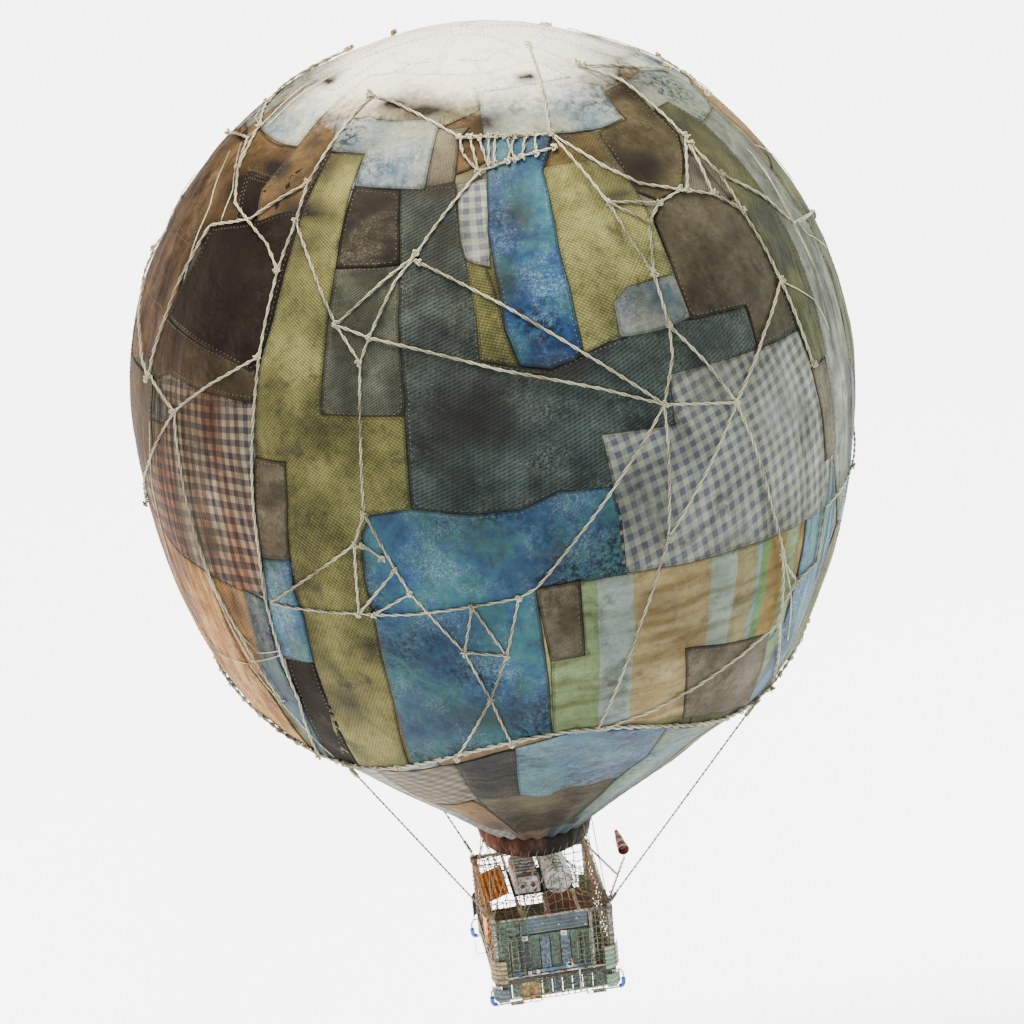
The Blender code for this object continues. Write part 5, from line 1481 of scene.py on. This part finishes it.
def flat_net(corner, across, down, bow=(0, 0, 0)):
    """The surface of a net that hangs nearly flat, bowed a little at its middle."""
    corner, across, down, bow = Vector(corner), Vector(across), Vector(down), Vector(bow)
    return lambda u, v: (
        corner + across * u + down * v + bow * math.sin(math.pi * u) * math.sin(math.pi * v)
    )


olive_hemp = hemp("olive_hemp", "8b8d6a", "4f5138")
brown_hemp = hemp("rust_stained_hemp", "a26e3e", "4f321d")
white_cord = hemp("white_cord", "e9e5da", "a89e8c")
net_top, floor_top = -8.745, -9.765
walls = (
    ("net_left", brown_hemp, (-0.957, -1.16, net_top), (0, 2.32, 0), (0, 0, -1.02), (-0.03, 0, 0), 14, 7),
    ("net_right", brown_hemp, (0.957, -1.16, net_top), (0, 2.32, 0), (0, 0, -1.02), (0.03, 0, 0), 14, 7),
    ("net_back", olive_hemp, (-0.91, 1.2, net_top), (1.82, 0, 0), (0, 0, -1.02), (0, 0.03, 0), 12, 7),
    ("net_front", olive_hemp, (0.665, -1.2, net_top), (0.245, 0, 0), (0, 0, -1.02), (0, 0, 0), 2, 7),
)
for name, finish, corner, across, down, bow, columns, rows in walls:
    soup = ([], [], [])
    hang_net(soup, flat_net(corner, across, down, bow), columns, rows, 0.0115, seed=len(name))
    piece = rope_piece(name + "_rope", soup, finish)
    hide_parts(name)

# The front's close net, in front of the boards, is cut round the gate. What
# hangs over the gate is tied to the gate and drops with it.
front_face = -1.268
soup = ([], [], [])
for corner, across, down, columns, rows in (
    ((-0.985, -1.245, -8.70), (0.24, 0, 0), (0, 0, -1.06), 2, 10),
    ((-0.745, front_face, -8.70), (0.33, 0, 0), (0, 0, -0.28), 3, 3),
    ((0.62, -1.25, -8.70), (0.37, 0, 0), (0, 0, -1.02), 4, 10),
    ((-0.33, -1.242, -9.80), (1.08, 0, 0), (0, 0, -0.37), 11, 4),
    ((-0.60, -1.235, -10.10), (0.32, 0, 0), (0, 0, -0.11), 2, 1),
    ((0.48, -1.242, -10.10), (0.26, 0, 0), (0, 0, -0.11), 2, 1),
):
    hang_net(soup, flat_net(corner, across, down), columns, rows, 0.0095, 0.3, corner[0])
rope_piece("front_net", soup, olive_hemp)
soup = ([], [], [])
for corner, across, columns in (((-0.70, front_face, -9.02), (0.30, 0, 0), 3), ((0.38, front_face, -9.02), (0.21, 0, 0), 2)):
    hang_net(soup, flat_net(corner, across, (0, 0, -0.66)), columns, 6, 0.0095, 0.3, corner[0])
rope_piece("gate_net", soup, olive_hemp, body="gate")


def over_gear(u, v):
    """The net that is thrown over the gas cylinder and made fast to the front rail."""
    x = 0.0 + 0.92 * u
    y = -1.2 + 1.35 * v
    climb = min(1.0, max(0.0, (y + 1.12) / 0.46))
    climb = climb * climb * (3 - 2 * climb)
    hump = math.exp(-(((x - 0.25) / 0.27) ** 2))
    return Vector((x, y, -8.69 + 0.455 * hump * climb + 0.05 * climb * u))


soup = ([], [], [])
hang_net(soup, over_gear, 8, 12, 0.0105, 0.3, 3.0)
hang_net(soup, flat_net((-0.46, -1.2, -8.69), (0.46, 0, 0), (0, 0.72, 0), (0, 0, -0.05)), 4, 6, 0.0105, 0.3, 9.0)
rope_piece("gear_net", soup, olive_hemp)
soup = ([], [], [])
hang_net(soup, flat_net((-0.93, 0.50, -8.70), (0.44, 0, 0), (0, 0.66, 0), (0, 0, -0.04)), 4, 6, 0.0105, 0.3, 5.0)
hang_net(soup, flat_net((-0.93, -1.15, -8.70), (0.44, 0, 0), (0, 0.56, 0), (0, 0, -0.04)), 4, 5, 0.0105, 0.3, 7.0)
rope_piece("side_net", soup, brown_hemp)


# Cord round the rails and the posts
# Every rail is served with cord, which holds the nets. The white paint shows
# between its turns. Tight bindings sit where the rails meet the posts.
soup, pale = ([], [], []), ([], [], [])
for start, end, reach in (
    ((-0.92, -1.2, -8.71), (0.92, -1.2, -8.71), 0.035),
    ((-0.92, 1.2, -8.71), (0.92, 1.2, -8.71), 0.035),
    ((0.955, -1.16, -8.71), (0.955, 1.16, -8.71), 0.035),
    ((-0.955, -1.16, -8.71), (-0.955, 1.16, -8.71), 0.043),
    ((-0.47, -1.16, -8.71), (-0.47, -0.5, -8.71), 0.029),
    ((0.47, -1.16, -8.71), (0.47, -0.5, -8.71), 0.029),
    ((0.955, -1.10, -8.68), (1.25, -1.10, -7.99), 0.022),
    ((0.955, 1.08, -8.69), (1.15, -1.05, -8.23), 0.016),
):
    length = (Vector(end) - Vector(start)).length
    add_turns(soup, start, end, reach, 0.0085, length / 0.085)
for side_x in (-1, 1):
    for side_y in (-1, 1):
        x, y = side_x * half_width, side_y * half_depth
        add_turns(soup, (x, y, -9.74), (x, y, -8.85), 0.050, 0.0095, 11)
        add_turns(pale, (x, y, -8.79), (x, y, -8.73), 0.052, 0.0095, 4)
        for along_x, along_y in ((-side_x, 0), (0, -side_y)):
            near = Vector((x + along_x * 0.05, y + along_y * 0.05, rim_height))
            far = near + Vector((along_x, along_y, 0)) * 0.07
            add_turns(soup, near, far, 0.042, 0.009, 5)
add_turns(pale, (-0.92, -1.2463, -9.73), (-0.66, -1.2463, -9.73), 0.019, 0.007, 9)
add_turns(pale, (0.53, -1.2463, -9.73), (0.92, -1.2463, -9.73), 0.019, 0.007, 13)
for spot_x in (-0.30, 0.12):
    add_turns(soup, (spot_x - 0.06, -1.2463, -9.73), (spot_x + 0.06, -1.2463, -9.73), 0.019, 0.006, 7)
rope_piece("rail_lashing", soup, brown_hemp)
rope_piece("post_lashing", pale, white_cord)

# White rope, slung in a tangle on the left net and made fast to the wire.
soup = ([], [], [])
tangle = (
    (0.20, -8.78), (0.10, -9.02), (0.16, -9.20), (-0.02, -9.32), (-0.12, -9.24), (-0.10, -9.40),
    (-0.34, -9.46), (-0.46, -9.36), (-0.40, -9.52), (-0.60, -9.50), (-0.72, -9.62), (-0.90, -9.58),
    (-1.02, -9.68),
)
path = []
for number in range(len(tangle) - 1):
    before, first, second, after = (
        Vector(tangle[min(max(number + step, 0), len(tangle) - 1)]) for step in (-1, 0, 1, 2)
    )
    for part in range(6):
        share = part / 6
        spot = first + (second - before) * share / 2
        spot += (before * 2 - first * 5 + second * 4 - after) * share * share / 2
        spot += (first * 3 - before - second * 3 + after) * share ** 3 / 2
        path.append(Vector((-1.0 - 0.02 * math.sin(number + share * 3), spot.x, spot.y)))
lay_rope(soup, path, 0.013, 0.08, 0.05)
lay_rope(soup, [spot + Vector((-0.01, 0.05, 0.07 * math.sin(n * 0.3))) for n, spot in enumerate(path[20:60])], 0.010, 0.08, 0.05)
add_turns(soup, path[24] - Vector((0, 0, 0.04)), path[24] + Vector((0, 0, 0.04)), 0.02, 0.008, 4)
add_turns(soup, path[48] - Vector((0, 0, 0.04)), path[48] + Vector((0, 0, 0.04)), 0.02, 0.008, 4)
rope_piece("white_rope_tangle", soup, white_cord)

# A bent wire hook, driven into the floor's left edge.
soup = ([], [], [])
hook = (
    (-0.97, -0.07, -9.835), (-1.08, -0.07, -9.845), (-1.145, -0.07, -9.85), (-1.16, -0.06, -9.83),
    (-1.165, -0.05, -9.74), (-1.175, -0.03, -9.63),
)
lay_rope(soup, [Vector(spot) for spot in hook], 0.006, 9.0, 0.02, sides=8)
rope_piece("wire_hook", soup, dark_iron)


# Small fittings
# Blocks, bolts, tags and sleeves, each cut from scrap, painted and worn.


def block(name, low, high, finish, bevel=0.006, body="body", turn=None):
    """A block with rounded edges, between two corners, turned about its middle."""
    low, high = Vector(low), Vector(high)
    bpy.ops.object.select_all(action="DESELECT")
    bpy.ops.mesh.primitive_cube_add(size=1, location=(low + high) / 2)
    piece = bpy.context.object
    piece.name = name
    piece.scale = high - low
    if turn:
        piece.rotation_euler = [math.radians(angle) for angle in turn]
    bpy.ops.object.transform_apply(location=True, rotation=True, scale=True)
    edge = piece.modifiers.new("edge", "BEVEL")
    edge.width = bevel
    edge.segments = 2
    bpy.ops.object.modifier_apply(modifier="edge")
    piece.data.materials.append(finish)
    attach(piece, body)
    return piece


def bolt(name, place, along, radius, finish, body="body"):
    """A domed bolt head on its washer."""
    bpy.ops.object.select_all(action="DESELECT")
    bpy.ops.mesh.primitive_uv_sphere_add(segments=14, ring_count=7, radius=radius, location=place)
    piece = bpy.context.object
    piece.name = name
    piece.scale = [0.55 if abs(axis) > 0.5 else 1.0 for axis in along]
    bpy.ops.object.transform_apply(location=True, rotation=True, scale=True)
    bpy.ops.object.shade_smooth()
    piece.data.materials.append(finish)
    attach(piece, body)
    return piece


# The apron's boards, cut and nailed by hand: each one stands a little askew.
apron_face, apron_low, apron_high = -1.22, -10.121, -9.861
for number in range(11):
    x = -0.922 + (number + 0.5) * 0.16766
    wide = 0.0795 + 0.0015 * math.sin(number * 5)
    low = apron_low + 0.012 * (number * 7 % 5 == 2)
    board = block(
        f"apron_board_{number}", (x - wide, apron_face, low), (x + wide, apron_face + 0.014, apron_high),
        apron_paint, 0.004, turn=(0, 0.35 * math.sin(number * 3), 0),
    )
    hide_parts("apron_slats")
plate = block("apron_sheet", (-0.60, -1.2263, -10.19), (-0.28, -1.2203, -9.863), fleck_paint, 0.002)
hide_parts("apron_plate")

for number, x in enumerate((-0.47, 0.17)):
    block(f"gate_clasp_{number}", (x - 0.05, -1.275, -9.075), (x + 0.05, -1.245, -8.985), white_enamel, 0.012, "gate", (0, 4, 0))
    bolt(f"gate_clasp_bolt_{number}", (x, -1.277, -9.03), (0, 1, 0), 0.016, dark_iron, "gate")
for number, x in enumerate((-0.44, -0.30)):
    block(f"hinge_chock_{number}", (x - 0.03, -1.277, -9.70), (x + 0.03, -1.246, -9.635), white_enamel, 0.01, "gate", (0, 9, 0))
block("latch_tag", (0.262, -1.283, -9.63), (0.28, -1.277, -9.49), orange_paint, 0.002, "gate", (0, -12, 0))
block("latch_pin", (0.18, -1.285, -9.655), (0.22, -1.272, -9.625), white_enamel, 0.005, "gate", (0, 8, 0))
red_paint = chipped_paint("red_paint", "c2281b", "7c1a12", 0.35, 20.0)
bolt("heater_knob", (-0.13, -0.45, -8.62), (0, 1, 0), 0.028, red_paint)
for number, (x, z) in enumerate(((-0.34, -8.515), (-0.16, -8.515))):
    bpy.ops.object.select_all(action="DESELECT")
    bpy.ops.mesh.primitive_torus_add(
        location=(x, -0.456, z), rotation=(math.pi / 2, 0, 0), major_radius=0.050, minor_radius=0.014,
        major_segments=28, minor_segments=8,
    )
    rim = bpy.context.object
    rim.name = f"heater_port_rim_{number}"
    bpy.ops.object.transform_apply(location=True, rotation=True, scale=True)
    bpy.ops.object.shade_smooth()
    rim.data.materials.append(white_enamel)
    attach(rim, "body")
    bolt(f"heater_port_grate_{number}", (x, -0.455, z), (0, 1, 0), 0.042, crate_paint)
for number in range(8):
    y = -0.50 + number * 0.135
    bpy.ops.object.select_all(action="DESELECT")
    bpy.ops.mesh.primitive_torus_add(
        location=(0.25, y, -8.4694), rotation=(math.pi / 2, 0, 0), major_radius=0.196,
        minor_radius=0.032, major_segments=40, minor_segments=10,
    )
    rib = bpy.context.object
    rib.name = f"cylinder_rib_{number}"
    rib.scale = (1.0, 1.0, 1.55)
    bpy.ops.object.transform_apply(location=True, rotation=True, scale=True)
    bpy.ops.object.shade_smooth()
    rib.data.materials.append(white_enamel)
    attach(rib, "body")
bolt("cylinder_cap", (0.25, -0.665, -8.4694), (0, 1, 0), 0.10, white_enamel)
block("cylinder_box", (0.06, -0.26, -8.37), (0.19, -0.02, -8.255), white_enamel, 0.015, turn=(0, -38, 0))
bolt("cylinder_box_bolt", (0.11, -0.14, -8.255), (0, 0, 1), 0.022, dark_iron)
soup = ([], [], [])
for start, bend, end in (
    ((0.25, -0.70, -8.47), (0.25, -0.80, -8.56), (0.02, -0.46, -8.60)),
    ((-0.25, 0.38, -8.50), (-0.1, 0.66, -8.55), (0.25, 0.60, -8.47)),
):
    start, bend, end = Vector(start), Vector(bend), Vector(end)
    path = [start.lerp(bend, t / 16).lerp(bend.lerp(end, t / 16), t / 16) for t in range(17)]
    lay_rope(soup, path, 0.015, 9.0, 0.03, sides=8)
rope_piece("gas_hoses", soup, dark_iron)
for number, (x, z) in enumerate(((-0.34, -8.905), (-0.16, -8.80), (0.10, -8.86), (0.40, -8.80), (0.54, -8.93))):
    bolt(f"panel_bolt_{number}", (x, -1.2585, z), (0, 1, 0), 0.013, white_enamel if number else crate_paint)
for number, (x, y) in enumerate(((-0.93, -0.55), (-0.60, -0.52), (-0.93, 0.42), (-0.60, 0.42))):
    z = -8.66 + (x + 0.955) * 0.342
    bolt(f"lid_bolt_{number}", (x, y, z), (0, 0, 1), 0.014, white_enamel)

# Blue rubber sleeves on the skids' lower bends, which land first.
sleeve_rubber, shader = new_finish("blue_rubber", 0.45, Coat_Weight=0.15)
place = add_node(sleeve_rubber, "TexCoord").outputs["Object"]
scuff = add_node(sleeve_rubber, "TexNoise", {"Vector": place}, Scale=22.0, Detail=8.0, Roughness=0.7)
colour = add_ramp(sleeve_rubber, scuff.outputs["Fac"], [(0.34, "16307c"), (0.55, "2b50b4"), (0.72, "7f95cf")])
bump = add_node(sleeve_rubber, "Bump", {"Height": scuff.outputs["Fac"]}, Strength=0.4, Distance=0.004)
sleeve_rubber.node_tree.links.new(colour, shader.inputs["Base Color"])
sleeve_rubber.node_tree.links.new(bump.outputs["Normal"], shader.inputs["Normal"])
soup = ([], [], [])
for side_x in (-1, 1):
    for y in (-1.2, 1.2):
        x = side_x * half_width
        path = [
            Vector((x + side_x * out, y, z)) for out, z in
            ((0.14, -10.03), (0.14, -10.09), (0.138, -10.14), (0.12, -10.18), (0.085, -10.194), (0.05, -10.194))
        ]
        lay_rope(soup, path, 0.036, 9.0, 0.02, sides=14, lobes=0.0)
sleeves = rope_piece("skid_sleeves", soup, sleeve_rubber)


# The windsock
# A red and white cone of light canvas on its hoop, limp and stained, sewn
# from four bands. It swings with its hoop on the pole's pin.
sock_canvas, shader = new_finish("sock_canvas", 0.85, Sheen_Weight=0.15)
place = add_node(sock_canvas, "TexCoord").outputs["Object"]
split = add_node(sock_canvas, "SeparateXYZ", {"Vector": place})
run = add_node(sock_canvas, "MapRange", {"Value": split.outputs["Y"]}, From_Min=-1.1, From_Max=-0.42)
colour = add_ramp(
    sock_canvas, run.outputs[0],
    [(0.0, "b3271b"), (0.24, "d8cfc2"), (0.44, "bb2c1f"), (0.62, "ddd5c9"), (0.82, "b3271b")], "CONSTANT",
)
stain = add_node(sock_canvas, "TexNoise", {"Vector": place}, Scale=16.0, Detail=8.0, Roughness=0.7)
stains = add_ramp(sock_canvas, stain.outputs["Fac"], [(0.38, "4a2c20"), (0.52, "c9b9a6"), (0.62, "ffffff")])
colour = blend_over(sock_canvas, 0.75, colour, stains, "MULTIPLY")
bump = add_node(sock_canvas, "Bump", {"Height": stain.outputs["Fac"]}, Strength=0.5, Distance=0.006)
sock_canvas.node_tree.links.new(colour, shader.inputs["Base Color"])
sock_canvas.node_tree.links.new(bump.outputs["Normal"], shader.inputs["Normal"])
sock_mouth = Vector((1.285, -1.0935, -7.775))
spots, faces = [], []
rings, spokes = 26, 28
for ring in range(rings):
    share = ring / (rings - 1)
    wide = 0.0935 * (1 - 0.67 * share ** 1.15)
    for spoke in range(spokes):
        turn = spoke * math.tau / spokes
        ruck = 1 + 0.05 * math.sin(turn * 5 + share * 8) * min(1, share * 5)
        ruck += 0.03 * math.sin(share * 40) * min(1, share * 5)
        reach = wide * ruck
        spots.append(sock_mouth + Vector((reach * math.cos(turn), share * 0.672, reach * math.sin(turn))))
for ring in range(rings - 1):
    for spoke in range(spokes):
        here, beside = ring * spokes + spoke, ring * spokes + (spoke + 1) % spokes
        faces.append((here, here + spokes, beside + spokes, beside))
mesh = bpy.data.meshes.new("windsock_canvas")
mesh.from_pydata([list(spot) for spot in spots], [], faces)
mesh.materials.append(sock_canvas)
mesh.shade_smooth()
sock = bpy.data.objects.new("windsock_canvas", mesh)
bpy.context.collection.objects.link(sock)
bpy.ops.object.select_all(action="DESELECT")
sock.select_set(True)
bpy.context.view_layer.objects.active = sock
bpy.ops.object.mode_set(mode="EDIT")
bpy.ops.mesh.select_all(action="SELECT")
bpy.ops.mesh.normals_make_consistent(inside=False)
bpy.ops.object.mode_set(mode="OBJECT")
thick = sock.modifiers.new("canvas", "SOLIDIFY")
thick.thickness = 0.002
thick.offset = -1
bpy.ops.object.modifier_apply(modifier="canvas")
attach(sock, "windsock")
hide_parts("windsock")

# A red rag, knotted to the front right stay as a wind tell-tale.
soup = ([], [], [])
rag = [Vector((0.99 + 0.02 * math.sin(n), -1.20 + 0.01 * n, -8.55 + 0.028 * n)) for n in range(5)]
lay_rope(soup, rag, 0.014, 0.05, 0.02)
rope_piece("red_rag", soup, sock_canvas)


# The floor and the light
# A pale floor some way under the gondola, which glows faintly at the front and brightly at the back, a broad soft
# light overhead, a warm one low on the left and a cool one on the right.
bpy.ops.mesh.primitive_plane_add(size=900, location=(0, 200, -13))
floor = bpy.context.object
bpy.ops.object.transform_apply(location=True)
floor.name = "studio_floor"
floor_finish, shader = new_finish("pale_floor", 0.95)
shader.inputs["Base Color"].default_value = linear("f4f3f0")
shader.inputs["Emission Color"].default_value = linear("fbfbfa")
spread = add_node(floor_finish, "TexCoord").outputs["Object"]
spread = add_node(floor_finish, "SeparateXYZ", {"Vector": spread}).outputs["Y"]
spread = add_node(
    floor_finish, "MapRange", {"Value": spread}, {"interpolation_type": "SMOOTHSTEP"},
    From_Min=-8.0, From_Max=4.0, To_Min=0.3, To_Max=6.0,
)
floor_finish.node_tree.links.new(spread.outputs[0], shader.inputs["Emission Strength"])
floor.data.materials.append(floor_finish)


def soft_light(name, place, aim, size, power, code):
    bpy.ops.object.light_add(type="AREA", location=place)
    light = bpy.context.object
    light.name = name
    light.data.size = size
    light.data.energy = power
    light.data.color = linear(code)[:3]
    light.rotation_euler = (Vector(aim) - Vector(place)).to_track_quat("-Z", "Y").to_euler()


soft_light("light_above", (-2, -4, 12.5), (0, 0, 4), 6, 3300, "fff8e8")
soft_light("light_front", (-10, -38, -2), (0, 0, -3), 16, 14500, "e6f1ff")
soft_light("light_left", (-26, 8, -8), (0, 0, -1), 12, 7000, "ffc473")
soft_light("light_right", (26, 2, 7), (0, 0, 0), 12, 11000, "e6f6ea")
world = bpy.data.worlds.new("studio")
world.use_nodes = True
world.node_tree.nodes["Background"].inputs["Color"].default_value = linear("f2f4f6")
world.node_tree.nodes["Background"].inputs["Strength"].default_value = 0.3
bpy.context.scene.world = world
